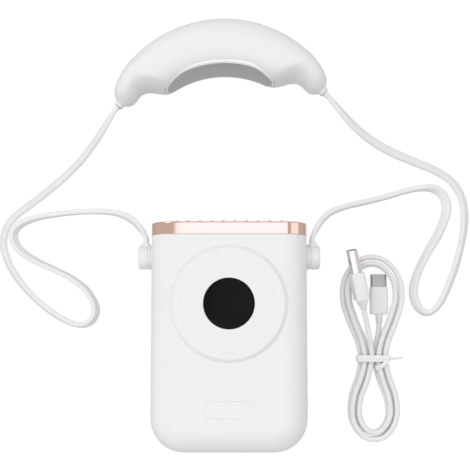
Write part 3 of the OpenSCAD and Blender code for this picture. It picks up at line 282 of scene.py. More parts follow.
white_silicone = painted("white_silicone", (0.80, 0.80, 0.805), 0.46, mottle=0.012, relief=0.012)


def lead(name, node, route):
    """A rounded 5 x 2.6 mm section carried along the smooth run through the route's points,
    turned about the run by their leans."""
    run = smooth_run(route)
    line = run[:, :3] * mm
    piece = woven(name, carried(line, round_rect(lead_t, lead_w, lead_round),
                                np.radians(run[:, 3:])))
    dress(piece, white_silicone, node, body=None)
    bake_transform(piece)


lead("left_lead", "left_strap", left_route)
lead("right_lead", "right_strap", right_route)

# Charging cable: about 0.77 m of soft 2.8 mm round cable, wound in a figure-eight hank of two
# layers that the tie draws in at its waist. Its two ends lie inside the upper loops. The hank's
# sizes are in millimetres and its turns in degrees.
cable_d = 2.8 * mm
strand_step = 3.6
hank_x, hank_y, hank_half = 75, -5.75, 42.2
waist_y, waist_half = -10.7, 0.95
top_wide, low_wide = 15.4, 12.4
layer_z, floor_gap, tie_lift, tie_reach = 3.5, 0.1, 0.9, 13.6
hank_from, hank_to, hank_turn, climb_turn = 97, 263 + 3 * 360, 15, 180
hank_mid = (hank_from + hank_to) / 2
lead_in = [(69.6, 14.6, 12.2), (70.6, 9.8, 11.5), (71.6, 5, 10.4), (72.7, 0, 8.8), (73.6, -5, 7)]
lead_out = [(76.4, -5, 2.3), (77.4, 0, 2.6), (78.2, 4, 3.1), (78.4, 7.8, 3.2)]


def ease(s):
    """A rise from 0 to 1 along half a cosine wave, level at both ends."""
    return (1 - np.cos(np.pi * np.clip(s, 0, 1))) / 2


def hank_line(turn):
    """The innermost loops: x = -sin(turn) times a half width that swells from the waist to both
    ends, y = cos(turn) times the half length, each later loop one step further out and square
    to the run, with one climb to the upper layer in the middle and a lift through the tie."""
    waist_c = (waist_y - hank_y) / hank_half

    def base(a):
        """The innermost loop's point (x, y) at each turn, about the hank's middle."""
        c = np.cos(np.radians(a))
        spread = np.where(c > waist_c, top_wide * ease((c - waist_c) / (1 - waist_c)),
                          low_wide * ease((waist_c - c) / (1 + waist_c)))
        return np.stack([-np.sin(np.radians(a)) * (waist_half + spread), hank_half * c], axis=1)

    slope = unit(base(turn + 1) - base(turn - 1))
    out = (hank_to - hank_mid - np.abs(turn - hank_mid)) / 360 * strand_step
    flat = base(turn) + np.stack([slope[:, 1], -slope[:, 0]], axis=1) * out[:, None]
    x, y = flat[:, 0] + hank_x, flat[:, 1] + hank_y
    climb = 1 - ease((turn - hank_mid) / climb_turn + 0.5)
    lift = tie_lift * np.exp(-((y - waist_y) / tie_reach) ** 2)
    return np.stack([x, y, floor_gap + cable_d / mm / 2 + layer_z * climb + lift], axis=1)


def ring_of(r, sides=64):
    """A circle of that radius about (0, 0)."""
    return arc(0, 0, r, 0, 360, sides + 1)[:-1]


loops = hank_line(np.linspace(hank_from, hank_to, round((hank_to - hank_from) / hank_turn) + 1))
cable_line = smooth_run(np.vstack([lead_in, loops, lead_out]), 5) * mm
cable = woven("charging_cable", carried(cable_line, ring_of(cable_d / 2, 16)))
white_cable = painted("white_cable", (0.79, 0.79, 0.795), 0.38, mottle=0.015, relief=0.01)
dress(cable, white_cable, "cable_hank")

# Front and back shell: two satin white ABS mouldings, 79 x 109 x 34 mm together, parted half
# way up. They hold the disc, the buttons, the socket and the knuckles' trunnions between them.
trim_low, trim_high = np.array(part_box("top_trim"))
half_w, depth = trim_high[0], trim_high[2]
y_shell, y_top = trim_low[1], trim_high[1]
y_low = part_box("front_shell")[0][1]
z_mid = depth / 2
edge_r, corner_r, wall = 11 * mm, 17 * mm, 2 * mm
lip, over, fit = 0.25 * mm, 0.6 * mm, 0.1 * mm
side_in = half_w - wall
disc_low, disc_high = np.array(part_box("front_disc"))
fan_y = (disc_low[1] + disc_high[1]) / 2
disc_r = (disc_high[0] - disc_low[0]) / 2
disc_base = disc_low[2]
white_shell = painted("white_shell", (0.80, 0.80, 0.80), 0.36, mottle=0.008, cloud=18,
                      grain=3200, relief=0.014)


def pill(w, h):
    """A w x h outline with half-round ends."""
    return round_rect(w, h, h / 2, per_corner=14)


def stacked(outlines, heights, axis, centre=(0, 0, 0)):
    """Rows of points: outlines of equal point counts, each lying square to the axis at its
    height from centre."""
    flat = np.asarray(outlines, float)
    high = np.broadcast_to(np.asarray(heights, float)[:, None], flat.shape[:2])
    u, v = flat[..., 0], flat[..., 1]
    order = {"x": (high, u, v), "y": (u, high, v), "z": (u, v, high)}[axis]
    return np.stack(order, axis=-1) + np.asarray(centre)


def lofted(name, outlines, heights, axis, centre=(0, 0, 0), hollow=False):
    """Stacked outlines joined in order. A hollow piece also joins the last to the first."""
    return woven(name, stacked(outlines, heights, axis, centre), along=hollow)


def turned(name, profile, axis, centre, hollow=False, sides=64):
    """A turned solid: each (radius, height) of the profile becomes a ring about the axis."""
    profile = np.asarray(profile, float)
    return lofted(name, [ring_of(r, sides) for r in profile[:, 0]], profile[:, 1], axis, centre,
                  hollow)


def carve(piece, tool, how="DIFFERENCE"):
    """Cuts the tool out of the piece, or joins it on, and takes the tool away."""
    work = piece.modifiers.new("carve", "BOOLEAN")
    work.operation = how
    work.solver = "MANIFOLD"
    work.object = tool
    depsgraph = bpy.context.evaluated_depsgraph_get()
    mesh = bpy.data.meshes.new_from_object(piece.evaluated_get(depsgraph))
    piece.modifiers.clear()
    piece.data = mesh
    bpy.data.objects.remove(tool)


def even_light(obj):
    """Gives each corner the direction of its largest face, so that flats next to small rounded
    edges stay evenly lit."""
    even = obj.modifiers.new("even_light", "WEIGHTED_NORMAL")
    even.keep_sharp = True
    even.weight = 100


def half_housing(name, side):
    """The outline runs down the left side, round both bottom corners and up the right side. Each
    row is that outline moved in by r (1 - cos t) and lies r sin t further from the parting plane
    than the straight side's end. A second sheet lies one wall inside, and strips join the two."""
    n = 25
    corner = arc(0, 0, 1, 180, 270, n)
    normal = np.vstack([[(-1, 0)] * 2, corner, corner[::-1] * (-1, 1), [(1, 0)] * 2])
    cx, cy = half_w - corner_r, y_low + corner_r
    centre = np.array([(-cx, y_shell), (-cx, y_shell - lip)] + [(-cx, cy)] * n + [(cx, cy)] * n
                      + [(cx, y_shell - lip), (cx, y_shell)])
    tilt = np.linspace(0, np.pi / 2, 17)
    lean = np.concatenate([[0, 0], tilt, [np.pi / 2]])

    def sheet(deep, chamfer):
        """The rows that lie deep inside the outer face, their edges broken by chamfer."""
        r = edge_r - deep
        inset = np.concatenate([[deep + chamfer, deep], deep + r * (1 - np.cos(tilt)),
                                [edge_r + over]])
        rise = np.concatenate([[0, lip], z_mid - edge_r + r * np.sin(tilt), [z_mid - deep]])
        at_ends = np.zeros(len(normal))
        at_ends[[0, -1]] = chamfer
        inset = inset[:, None] + np.cos(lean)[:, None] * at_ends
        rise = rise[:, None] - np.sin(lean)[:, None] * at_ends
        xy = centre + (corner_r - inset)[..., None] * normal
        return np.concatenate([xy, (z_mid + side * rise)[..., None]], axis=-1)

    outer, inner = sheet(0, lip), sheet(wall, 0)
    rows, columns = outer.shape[:2]
    o, i = np.arange(2 * rows * columns).reshape(2, rows, columns)

    def strip(a, b):
        """Quads between two lines of points."""
        return np.stack([a[:-1], a[1:], b[1:], b[:-1]], axis=-1).reshape(-1, 4)

    end = columns - 1
    quads = np.vstack([strip(o[r], o[r + 1]) for r in range(rows - 1)]
                      + [strip(i[r + 1], i[r]) for r in range(rows - 1)]
                      + [strip(i[0], o[0]), strip(o[:, 0], i[:, 0]), strip(i[:, end], o[:, end]),
                         [[o[-1, 1], o[-1, end - 1], o[-1, end], o[-1, 0]],
                          [o[-1, 0], o[-1, end], i[-1, end], i[-1, 0]],
                          [i[-1, 0], i[-1, end], i[-1, end - 1], i[-1, 1]]]])
    caps = [o[-1, 1:end], i[-1, 1:end][::-1]]
    return closed_piece(name, np.concatenate([outer, inner]).reshape(-1, 3), quads, caps)


boss_r, post_r, screw_r, small_screw_r, clear_r = (v * mm for v in (2.7, 2, 0.9, 0.75, 1.15))
boss_sink, boss_split = 0.85 * wall, z_mid - 5 * mm
board_top, face_board_top = 15.5 * mm, 27.3 * mm
case_hole, board_hole, face_hole = 18 * mm, 11 * mm, 3 * mm
case_spots = [(side * x * mm, y * mm) for side in (-1, 1) for x, y in ((31, 27), (29.54, -44.48))]
board_spots = [(side * x * mm, y * mm) for side in (-1, 1) for x, y in ((27, -27.7), (12, -47.7))]
face_spots = [(x * mm, fan_y + y * mm) for x, y in ((-13.5, 10), (13.5, 10), (0, -14.2))]
head_mouth_r, head_r, head_deep = 2.35 * mm, 2.1 * mm, 2.6 * mm
knuckle_y = 41 * mm
trunnion_r, trunnion_gap, washer_r, washer_t, saddle_r = (v * mm for v in (3, 0.04, 6.8, 0.7, 5))
button_l, button_h = 10 * mm, 5 * mm
button_ys = [np.mean(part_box(node), axis=0)[1] for node in ("power_button", "cooling_button")]
port_w, port_h = 9.34 * mm, 3.6 * mm


def rod(radius, low, high, spot):
    """A round bar from low to high that stands on the spot (x, y)."""
    return turned("rod", [(radius, low), (radius, high)], "z", (*spot, 0), sides=28)


def open_seats(shell, side):
    """What crosses the parting plane: washers and saddles of the trunnions, their bore, the two
    button holes and the mouth of the charging socket."""
    for way in (-1, 1):
        for r, start, end in ((washer_r, half_w - wall / 2, half_w + washer_t),
                              (saddle_r, side_in - wall, side_in + wall / 4)):
            heights = way * np.array([start, end - lip, end])
            halves = [arc(0, 0, q, 0, 180, 32) * (1, side) for q in (r, r, r - lip)]
            carve(shell, lofted("washer", halves, heights, "x", (0, knuckle_y, z_mid)), "UNION")
    bore = trunnion_r + trunnion_gap
    carve(shell, turned("bore", [(bore, -half_w - wall), (bore, half_w + wall)], "x",
                        (0, knuckle_y, z_mid)))
    for y in button_ys:
        hole = pill(button_l + 2 * fit, button_h + 2 * fit)
        carve(shell, lofted("hole", [hole] * 2, [side_in - over, half_w + over], "x",
                            (0, y, z_mid)))
    mouth = pill(port_w, port_h)
    carve(shell, lofted("mouth", [pill(port_w + 4 * lip, port_h + 4 * lip), mouth, mouth],
                        [y_low - lip, y_low + lip, y_low + wall + over], "y", (0, 0, z_mid)))


front, back = half_housing("front_case", 1), half_housing("back_case", -1)
for spots, r, hole_r, low, deep in ((case_spots, boss_r, screw_r, boss_split, case_hole),
                                    (board_spots, post_r, small_screw_r, board_top, board_hole),
                                    (face_spots, post_r, small_screw_r, face_board_top, face_hole)):
    for spot in spots:
        carve(front, rod(r, low, depth - boss_sink, spot), "UNION")
        carve(front, rod(hole_r, low - over, low + deep, spot))
for spot in case_spots:
    carve(back, rod(boss_r, boss_sink, boss_split - fit, spot), "UNION")
    carve(back, rod(clear_r, -over, boss_split + over, spot))
    carve(back, turned("head_seat", [(head_mouth_r, -over), (head_mouth_r, 0), (head_r, lip),
                                     (head_r, head_deep)], "z", (*spot, 0), sides=40))
open_seats(front, 1)
open_seats(back, -1)
intake_r, lens_hole_r = 16.6 * mm, 11.5 * mm
carve(back, turned("intake", [(intake_r + 2 * lip, -over), (intake_r + 2 * lip, 0),
                              (intake_r, 2 * lip), (intake_r, wall + over)], "z",
                   (0, fan_y, 0), sides=96))
disc_hole, seat_round = disc_r + fit, 0.2 * mm
seat_edge = arc(disc_hole + seat_round, depth - seat_round, seat_round, 180, 90, 7)
carve(front, turned("disc_seat", [(disc_hole, disc_base), *seat_edge,
                                  (disc_hole + seat_round, depth + wall)],
                    "z", (0, fan_y, 0), sides=144))
carve(front, turned("lens_hole", [(lens_hole_r, depth - 2 * wall), (lens_hole_r, depth)], "z",
                    (0, fan_y, 0)))
badge_w, badge_h, badge_y = 25.4 * mm, 9 * mm, y_low + 21.2 * mm
groove_w, groove_d = 0.6 * mm, 0.2 * mm
badge_out, badge_in = pill(badge_w, badge_h), pill(badge_w - 2 * groove_w, badge_h - 2 * groove_w)
badge_mid = (badge_out + badge_in) / 2
carve(front, lofted("badge_groove", [badge_out, badge_out, badge_in, badge_in, badge_mid],
                    [depth, depth + wall, depth + wall, depth, depth - groove_d], "z",
                    (0, badge_y, 0), hollow=True))
for piece, node in ((front, "front_shell"), (back, "back_shell")):
    even_light(piece)
    dress(piece, white_shell, node)

# Top trim: a ring of ABS plated in satin rose gold that closes the joint of the two shells round
# the air outlet. Its upper edge is bevelled, and it is pressed onto the grille's frame.
trim_bevel, flat_end = 0.7 * mm, 0.4 * mm
bevel_shares = ((0, 1), (0.15, 0.5), (0.5, 0.15), (1, 0))


def hoop(name, section):
    """A closed section carried round the outlet: its first value moves in from the housing's
    rounded 79 x 34 mm outline, and its second lies along Y. One more point just past each end of
    a corner keeps the flat sides' reflections flat."""
    past = np.zeros((27, 1))
    past[0], past[-1] = -flat_end, flat_end
    normal, centre = [], []
    for sx, sz, start in corners:
        way = arc(0, 0, 1, start, start + 90, 25)
        way = np.vstack([way[:1], way, way[-1:]])
        normal.append(way)
        centre.append(np.array([sx * (half_w - edge_r), z_mid + sz * (z_mid - edge_r)])
                      + past * way[:, ::-1] * (-1, 1))
    normal, centre = np.vstack(normal), np.vstack(centre)
    inset, y = np.asarray(section, float).T
    return lofted(name, centre + (edge_r - inset)[:, None, None] * normal, y, "y", hollow=True)


rose_gold = painted("rose_gold", (0.80, 0.54, 0.45), 0.035, metal=1, cloud=90, grain=4200,
                    relief=0.0006)
trim = hoop("outlet_trim", [
    (lip, y_shell), (0, y_shell + lip), (0, y_top - trim_bevel - lip),
    *((u * trim_bevel, y_top - v * trim_bevel) for u, v in bevel_shares),
    (wall - lip, y_top), (wall, y_top - lip), (wall, y_shell)])
even_light(trim)
dress(trim, rose_gold, "top_trim")

# Outlet grille: one white moulding, a frame that plugs into the shells' open end with ten
# round-topped bars from back to front and two cross ribs under them.
white_trim = painted("white_trim", (0.80, 0.80, 0.805), 0.28, mottle=0.008, cloud=30,
                     relief=0.008)
bar_n, bar_w, bar_h = 10, 1.5 * mm, 3.2 * mm
bar_inset, bar_thinner = np.array(((0, 0.1, 0.4), (0.35, 0.12, 0))) * mm
frame_out, frame_t, skirt = wall + fit, 1.5 * mm, 2.6 * mm
bar_pitch = 2 * (half_w - edge_r - wall) / (bar_n - 1)
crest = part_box("outlet_grille")[1][1]
rib, rib_out = bar_w + fit, depth / 7


def bar_outline(shrink):
    """A bar's section: a straight foot under a half-round top, moved in all round by shrink."""
    r, foot = bar_w / 2 - shrink, crest - bar_h + shrink
    return np.vstack([arc(0, crest - bar_w / 2, r, 0, 180, 11), [(-r, foot), (r, foot)]])


grille = hoop("air_grille", [
    (frame_out, y_shell - skirt + lip), (frame_out, y_top - trim_bevel - lip),
    (frame_out + lip, y_top - trim_bevel), (frame_out + frame_t - lip, y_top - trim_bevel),
    (frame_out + frame_t, y_top - trim_bevel - lip), (frame_out + frame_t, y_shell - skirt),
    (frame_out + lip, y_shell - skirt)])
bar_z = frame_out + fit + bar_inset
bar_z = np.concatenate([bar_z, depth - bar_z[::-1]])
bar_rows = [bar_outline(shrink) for shrink in (*bar_thinner, *bar_thinner[::-1])]
for k in range(bar_n):
    x = (k - (bar_n - 1) / 2) * bar_pitch
    carve(grille, lofted("bar", [row + (x, 0) for row in bar_rows], bar_z, "z"), "UNION")
for way in (-1, 1):
    carve(grille, lofted("rib", [round_rect(rib, rib, rib / 4)] * 2,
                         [-side_in + frame_t, side_in - frame_t], "x",
                         (0, crest - bar_h, z_mid + way * rib_out)), "UNION")
dress(grille, white_trim, "outlet_grille")

# Front disc: a white moulding 58.4 mm across with fine ridges that run round it, set into a
# shallow seat in the front, and the black acrylic window of the display in its middle.
disc_crown, disc_edge, disc_slope = 35.2 * mm, 1.15 * mm, 1.7 * mm
disc_skirt = disc_hole - 0.02 * mm
window_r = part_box("display_window")[1][0]
ridge_n, ridge_h = 10, 0.035 * mm
ridge_from, ridge_to = window_r + disc_edge, disc_r - 1.1 * disc_slope
sweep = np.linspace(0, 1, 17)
ridge_r = np.linspace(ridge_from, ridge_to, ridge_n * 8 + 1)
ridge_z = disc_crown + ridge_h * (1 - np.cos(2 * np.pi * ridge_n * (ridge_r - ridge_from)
                                              / (ridge_to - ridge_from))) / 2
disc = turned("ridged_disc", [
    (window_r + fit, disc_base), (window_r + fit, disc_crown - lip),
    (window_r + fit + lip, disc_crown), *zip(ridge_r, ridge_z),
    *zip(disc_skirt - disc_slope + disc_slope * sweep, disc_crown - disc_edge * ease(sweep)),
    (disc_skirt, disc_base)], "z", (0, fan_y, 0), hollow=True, sides=144)
dress(disc, white_trim, "front_disc")

black_window = painted("black_window", (0.0045, 0.0045, 0.0048), 0.16, mottle=0.25, cloud=60,
                       grain=900, relief=0.001, gloss=0.06)
dome_sink, dome_rise, dome_hole = 0.1 * mm, 0.25 * mm, 0.4 * mm
dome_r = np.linspace(window_r - 2 * lip, dome_hole, 14)
dome_z = disc_crown - dome_sink + dome_rise * (1 - (dome_r / window_r) ** 2)
window = turned("display_lens", [
    (window_r, disc_base), (window_r, disc_crown - 2 * lip),
    (window_r - 0.6 * lip, disc_crown - 0.8 * lip), *zip(dome_r, dome_z)],
    "z", (0, fan_y, 0), sides=96)
dress(window, black_window, "display_window")

# The two knuckles: white pucks whose trunnions turn in the shells' saddles, with a collar on top
# that the lead is moulded into. A shallow groove parts each from its washer.
knuckle_r, knuckle_l, knuckle_round = 6.2 * mm, 6.3 * mm, 1.3 * mm
knuckle_x = half_w + washer_t + fit
trunnion_end = side_in - 3.7 * mm
groove_x, groove_l, groove_in, groove_side = (v * mm for v in (1.1, 0.7, 0.45, 0.2))
collar_x, collar_top = knuckle_x + 0.43 * knuckle_l, 48.4 * mm
collar_t, collar_w = 4 * mm, 6.4 * mm
collar_rows = ((1, knuckle_y), (1, collar_top - lip), (0.92, collar_top))


def knuckle(name, side, node, body):
    """A puck turned about X, grooved and rounded at its outer rim, joined to a collar whose
    rounded section narrows towards the lead."""
    groove = knuckle_x + groove_x
    profile = np.array([
        (trunnion_r - lip, trunnion_end), (trunnion_r, trunnion_end + lip), (trunnion_r, knuckle_x),
        (knuckle_r - lip, knuckle_x), (knuckle_r, knuckle_x + lip), (knuckle_r, groove),
        (knuckle_r - groove_in, groove + groove_side),
        (knuckle_r - groove_in, groove + groove_l - groove_side), (knuckle_r, groove + groove_l),
        *arc(knuckle_r - knuckle_round, knuckle_x + knuckle_l - knuckle_round, knuckle_round,
             0, 90, 9)])
    puck = turned(name, profile * (1, side), "x", (0, knuckle_y, z_mid), sides=72)
    collar = lofted("collar", [round_rect(collar_t * share, collar_w * share, collar_t / 3)
                               for share, _ in collar_rows],
                    [y for _, y in collar_rows], "y", (side * collar_x, 0, z_mid))
    carve(puck, collar, "UNION")
    dress(puck, white_trim, node, body)


knuckle("left_puck", -1, "left_knuckle", "left_swivel")
knuckle("right_puck", 1, "right_knuckle", "right_swivel")

# Power and cooling button: two white pill-shaped caps in the right side. Each has a lip inside
# the wall that stops it and a stem that reaches its switch.
cap_lip_t, cap_lip, cap_edge, stem_w, stem_t = (v * mm for v in (1.1, 1, 0.7, 2.4, 1.3))


def cap(name, node, body):
    """Pill outlines stacked along X: stem, lip and cap, the cap's outer edge rounded."""
    low, high = np.array(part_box(node))
    centre = (0, (low[1] + high[1]) / 2, z_mid)
    lip_x = side_in - fit - cap_lip_t
    face = arc(cap_edge, high[0] - cap_edge, cap_edge, 180, 90, 6) * (2, 1)
    stack = [(-2 * cap_lip, lip_x), (-2 * cap_lip, lip_x + cap_lip_t), (0, lip_x + cap_lip_t), *face]
    piece = lofted(name, [pill(button_l - d, button_h - d) for d, _ in stack],
                   [x for _, x in stack], "x", centre)
    carve(piece, lofted("stem", [round_rect(stem_w, stem_t, lip)] * 2,
                        [low[0], lip_x + cap_lip_t / 2], "x", centre), "UNION")
    dress(piece, white_trim, node, body)


cap("power_cap", "power_button", "power_key")
cap("cooling_cap", "cooling_button", "cooling_key")

# Neck pad: a soft white silicone-covered C, 36 mm tall, thick behind the neck and swelling into
# two round lobes. It is a loft of rounded ovals about the neck's centre.
pad_place, pad_turn = np.array([-2.4, 98, 0]) * mm, np.radians(3.8)
pad_r, pad_mid = 67.9 * mm, 18 * mm
pad_angles = [0, 10, 20, 28, 34, 39, 42, 44.5, 47, 50, 53.5, 57, 59.5, 61.5, 63.2]
pad_in_shares = [0.577, 0.579, 0.585, 0.592, 0.6, 0.613, 0.638, 0.675, 0.72, 0.757, 0.773,
                 0.776, 0.784, 0.805, 0.848]
pad_out_shares = [1, 0.999, 0.997, 0.994, 0.991, 0.988, 0.985, 0.984, 0.981, 0.976, 0.97,
                  0.96, 0.948, 0.925, 0.884]
pad_high_shares = [1, 1, 1, 1, 1, 1, 1, 0.989, 0.967, 0.922, 0.856, 0.767, 0.656, 0.478, 0.2]
pad_square, pad_boxy = 2.25, 0.9
window_end, window_fade = 40, 12
plate_x, plate_y = -0.4 * mm, 0.573 * pad_r - 0.3 * mm
bend_r, crown_r = 48 * mm, 30 * mm
curl_from, end_curl = 23.5 * mm, 3 * mm
bezel_half, bezel_rise, bezel_w, bezel_t, bezel_proud = (v * mm for v in (28.3, 15.4, 2, 2.4, 0.4))
bezel_end_share, end_power, bezel_edge = 0.5, 2.8, 0.8 * mm


def laid(points, at, lean, rise=0):
    """Points drawn along +Y are turned up by rise about X, then by lean about Z, and moved."""
    points = np.asarray(points, float)
    c, s = np.cos(rise), np.sin(rise)
    x, y, z = points[..., 0], points[..., 1], points[..., 2]
    y, z = y * c - z * s, y * s + z * c
    c, s = np.cos(lean), np.sin(lean)
    return np.stack([x * c - y * s, x * s + y * c, z], axis=-1) + at


def in_pad(points):
    """Turns points drawn about the neck's centre by the pad's small turn, and sets them there."""
    return laid(points, pad_place, pad_turn)


def squared(angle, power):
    """The point (u, v) of |u|^power + |v|^power = 1 at each angle."""
    u, v = np.cos(angle), np.sin(angle)
    return np.sign(u) * np.abs(u) ** (2 / power), np.sign(v) * np.abs(v) ** (2 / power)


def pad_rings():
    """Ovals across the band, |u|^n + |v|^n = 1, one for each angle about the neck. The power n
    is 2.25, and 0.9 more on the inner side where the plate is set in."""
    half = np.array([pad_angles, pad_in_shares, pad_out_shares, pad_high_shares]).T
    both = np.vstack([half[:0:-1] * (-1, 1, 1, 1), half])
    angle, r_in, r_out, tall = smooth_run(both, 8).T
    w = np.linspace(0, 2 * np.pi, 96, endpoint=False)
    boxy = 1 - ease((np.abs(angle) - window_end) / window_fade)
    power = pad_square + pad_boxy * boxy[:, None] * (np.cos(w) < 0)
    u, v = squared(w, power)
    r = pad_r * ((r_in + r_out)[:, None] / 2 + (r_out - r_in)[:, None] / 2 * u)
    a = np.radians(angle)[:, None]
    z = pad_mid + pad_mid * tall[:, None] * v
    return np.stack([r * np.sin(a), r * np.cos(a), z], axis=-1)


def crown(x, z, proud):
    """How far forward the plate's face lies at (x, z): it bends to 48 mm across the neck, is
    crowned to 30 mm along it and curls back by up to 3 mm at its two ends. Proud moves it towards
    the neck."""
    reach = bend_r + crown_r - np.sqrt((crown_r + proud) ** 2 - (z - pad_mid) ** 2)
    past = np.maximum(np.abs(x) - curl_from, 0) / (bezel_half - curl_from)
    return plate_y - bend_r + np.sqrt(reach ** 2 - x ** 2) + end_curl * past ** 2


def crowned_block(name, grow, front_proud, back_proud):
    """A block between two crowned faces, straight above and below, its ends |u|^n + |v|^n = 1
    with n = 2.8: a ring of points at each x, over the outline's height there, forward on the
    front face and back on the other."""
    straight, tall_end = bezel_half - bezel_rise, bezel_rise + grow
    long_end = bezel_rise + grow * (bezel_end_share if grow < 0 else 1)
    end = np.linspace(0, np.pi / 2, 25)[1:-1]
    x = straight + long_end * np.concatenate([[0], np.sin(end), [1]])
    x = np.concatenate([-x[::-1], np.linspace(-straight, straight, 25)[1:-1], x])
    past = np.maximum(np.abs(x) - straight, 0) / long_end
    tall = tall_end * np.maximum(1 - past ** end_power, 1e-5) ** (1 / end_power)
    s = np.linspace(-1, 1, 21)
    z = pad_mid + tall[:, None] * s
    x = np.broadcast_to(x[:, None], z.shape)
    face, back = (np.stack([x + plate_x, crown(x, z, proud), z], axis=-1)
                  for proud in (front_proud, back_proud))
    return woven(name, in_pad(np.concatenate([face, back[:, ::-1]], axis=1)))


window_proud, pocket_round = 6 * mm, 2 * mm
pocket_half, pocket_rise, pocket_l = 21 * mm, 13.6 * mm, 20.4 * mm
pad = woven("neck_pad", in_pad(pad_rings()))
carve(pad, crowned_block("window", 2 * fit, window_proud, -bezel_t - fit))
pocket = stacked([round_rect(2 * pocket_half, 2 * pocket_rise, pocket_round)] * 2,
                 [plate_y - 2 * wall, plate_y + pocket_l], "y", (0, 0, pad_mid))
carve(pad, woven("pocket", in_pad(pocket)))

boot_angle, boot_out = np.radians(62.4), np.radians(12.7)
boot_r, boot_root, boot_show = 0.874 * pad_r, 3.8 * mm, 2.4 * mm
boot_t, boot_w, boot_narrow = 4.6 * mm, 7 * mm, 0.7 * mm


def boot_rows(side, sizes):
    """Rounded sections along the way in which the lead leaves the pad's tip: each entry gives how
    far out it lies and how much its outline grows."""
    outlines = [round_rect(boot_t + grow, boot_w + grow, (boot_t + grow) / 3) for _, grow in sizes]
    at = (side * boot_r * np.sin(boot_angle), boot_r * np.cos(boot_angle), pad_mid)
    return in_pad(laid(stacked(outlines, [out for out, _ in sizes], "y"), at,
                       -side * (np.pi / 2 + boot_angle - boot_out)))


for side, name in ((-1, "left_boot"), (1, "right_boot")):
    carve(pad, woven("boot_seat", boot_rows(side, [(-boot_root, fit), (4 * boot_show, fit)])))
    boot = woven(name + "_collar", boot_rows(side, [
        (-boot_root, 0), (0.7 * boot_show, 0), (0.9 * boot_show, -2 * fit),
        (boot_show, -boot_narrow)]))
    dress(boot, white_silicone, name)
dress(pad, white_silicone, "pad_shell", sharp=40)

# Cold plate and its bezel: a crowned plate of satin-blasted aluminium that lies against the neck,
# in a polished ring whose bevel shows as a bright line above it.
satin_aluminium = painted("satin_aluminium", (0.60, 0.60, 0.605), 0.48, metal=1, mottle=0.05,
                          cloud=500, grain=5200, relief=0.012)
polished_aluminium = painted("polished_aluminium", (0.97, 0.97, 0.975), 0.42, metal=0.3,
                             mottle=0.01, grain=2000, relief=0.002)
plate_gap, plate_t = 0.05 * mm, 2 * mm
plate = crowned_block("cooling_face", -bezel_w - plate_gap, 0, -plate_t)
dress(plate, satin_aluminium, "cold_plate", sharp=40)


def bezel_ring():
    """The pill outline's core line and outward normals, with the bezel's section at each point:
    its first value moves in from the outline, and its second is how far it stands proud."""
    c = bezel_half - bezel_rise
    end, side = np.ones(41), np.ones(24)
    turn = np.linspace(-np.pi / 2, np.pi / 2, len(end))
    run = np.linspace(c, -c, len(side) + 2)[1:-1]
    core = np.concatenate([c * end, run, -c * end, -run])
    angle = np.concatenate([turn, np.pi / 2 * side, turn + np.pi, 1.5 * np.pi * side])
    rim = arc(bezel_edge, bezel_proud - bezel_edge, bezel_edge, 180, 90, 7)
    section = np.array([(0, -bezel_t), *rim, (bezel_w - fit, fit), (bezel_w, 0),
                        (bezel_w, -bezel_t)])
    u, v = squared(angle, end_power)
    x = core[:, None] + (bezel_rise - bezel_end_share * section[:, 0]) * u[:, None]
    z = pad_mid + (bezel_rise - section[:, 0]) * v[:, None]
    y = crown(x, z, np.broadcast_to(section[:, 1], x.shape))
    return in_pad(np.stack([x + plate_x, y, z], axis=-1))


bezel = woven("bright_bezel", bezel_ring(), along=True)
dress(bezel, polished_aluminium, "plate_bezel", sharp=24)

# The tie: a paper-backed wire strap round the hank's waist. Its two ends are twisted together at
# the right, where one sticks out and the other is folded down over the strands.
tie_low, tie_high = np.array(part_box("cable_tie"))
tie_t, tie_slack = 0.7 * mm, 0.5 * mm
tie_half = (waist_half + 1.5 * strand_step) * mm + cable_d / 2 + tie_slack
tie_x, (tie_y, tie_z) = hank_x * mm, ((tie_low + tie_high) / 2)[1:]
tie_inner = tie_high[2] - tie_low[2] - 2 * tie_t
clear_tie = painted("clear_tie", (0.82, 0.82, 0.825), 0.3, mottle=0.02, cloud=400, relief=0.01)


def ribbon(name, points, width, thick, turn):
    """A thin ribbon along the smooth run through the points, its section turned about the run
    by turn degrees from one end to the other."""
    run = smooth_run(np.asarray(points, float) * mm)
    share = np.linspace(0, 1, len(run))[:, None]
    return woven(name, carried(run, round_rect(width, thick, 0.45 * thick, per_corner=3),
                               np.radians(turn) * share))


strap_half = np.array([(1.7, 0), (1.7, 0.25), (1.55, 0.34), (0.5, 0.38), (0.32, 0.62)])
strap_shape = np.vstack([strap_half * (-1, 1), [(0, 0.7)], strap_half[::-1]]) * mm
tie = lofted("wire_tie", [round_rect(2 * (tie_half + out), tie_inner + 2 * out,
                                     cable_d / 2 - tie_t + out, per_corner=9)
                          for _, out in strap_shape],
             strap_shape[:, 0], "y", (tie_x, tie_y, tie_z), hollow=True)
knot = np.array([tie_x + tie_half, tie_y, tie_high[2]]) / mm
for name, places, width, thick, turn in (
        ("twisted_end", [(-1.2, 0.2, -0.9), (1.4, -0.1, -0.7), (4, 0.1, -0.75), (6.8, 0.5, -0.9)],
         1.5 * mm, 0.6 * mm, 620),
        ("folded_end", [(-0.9, -0.9, -0.4), (-2.2, -2.4, -0.25), (-4.4, -3.9, -0.4),
                        (-7.4, -4.9, -0.7)], 2.4 * mm, 0.5 * mm, 25)):
    carve(tie, ribbon(name, knot + places, width, thick, turn), "UNION")
dress(tie, clear_tie, "cable_tie", sharp=40)

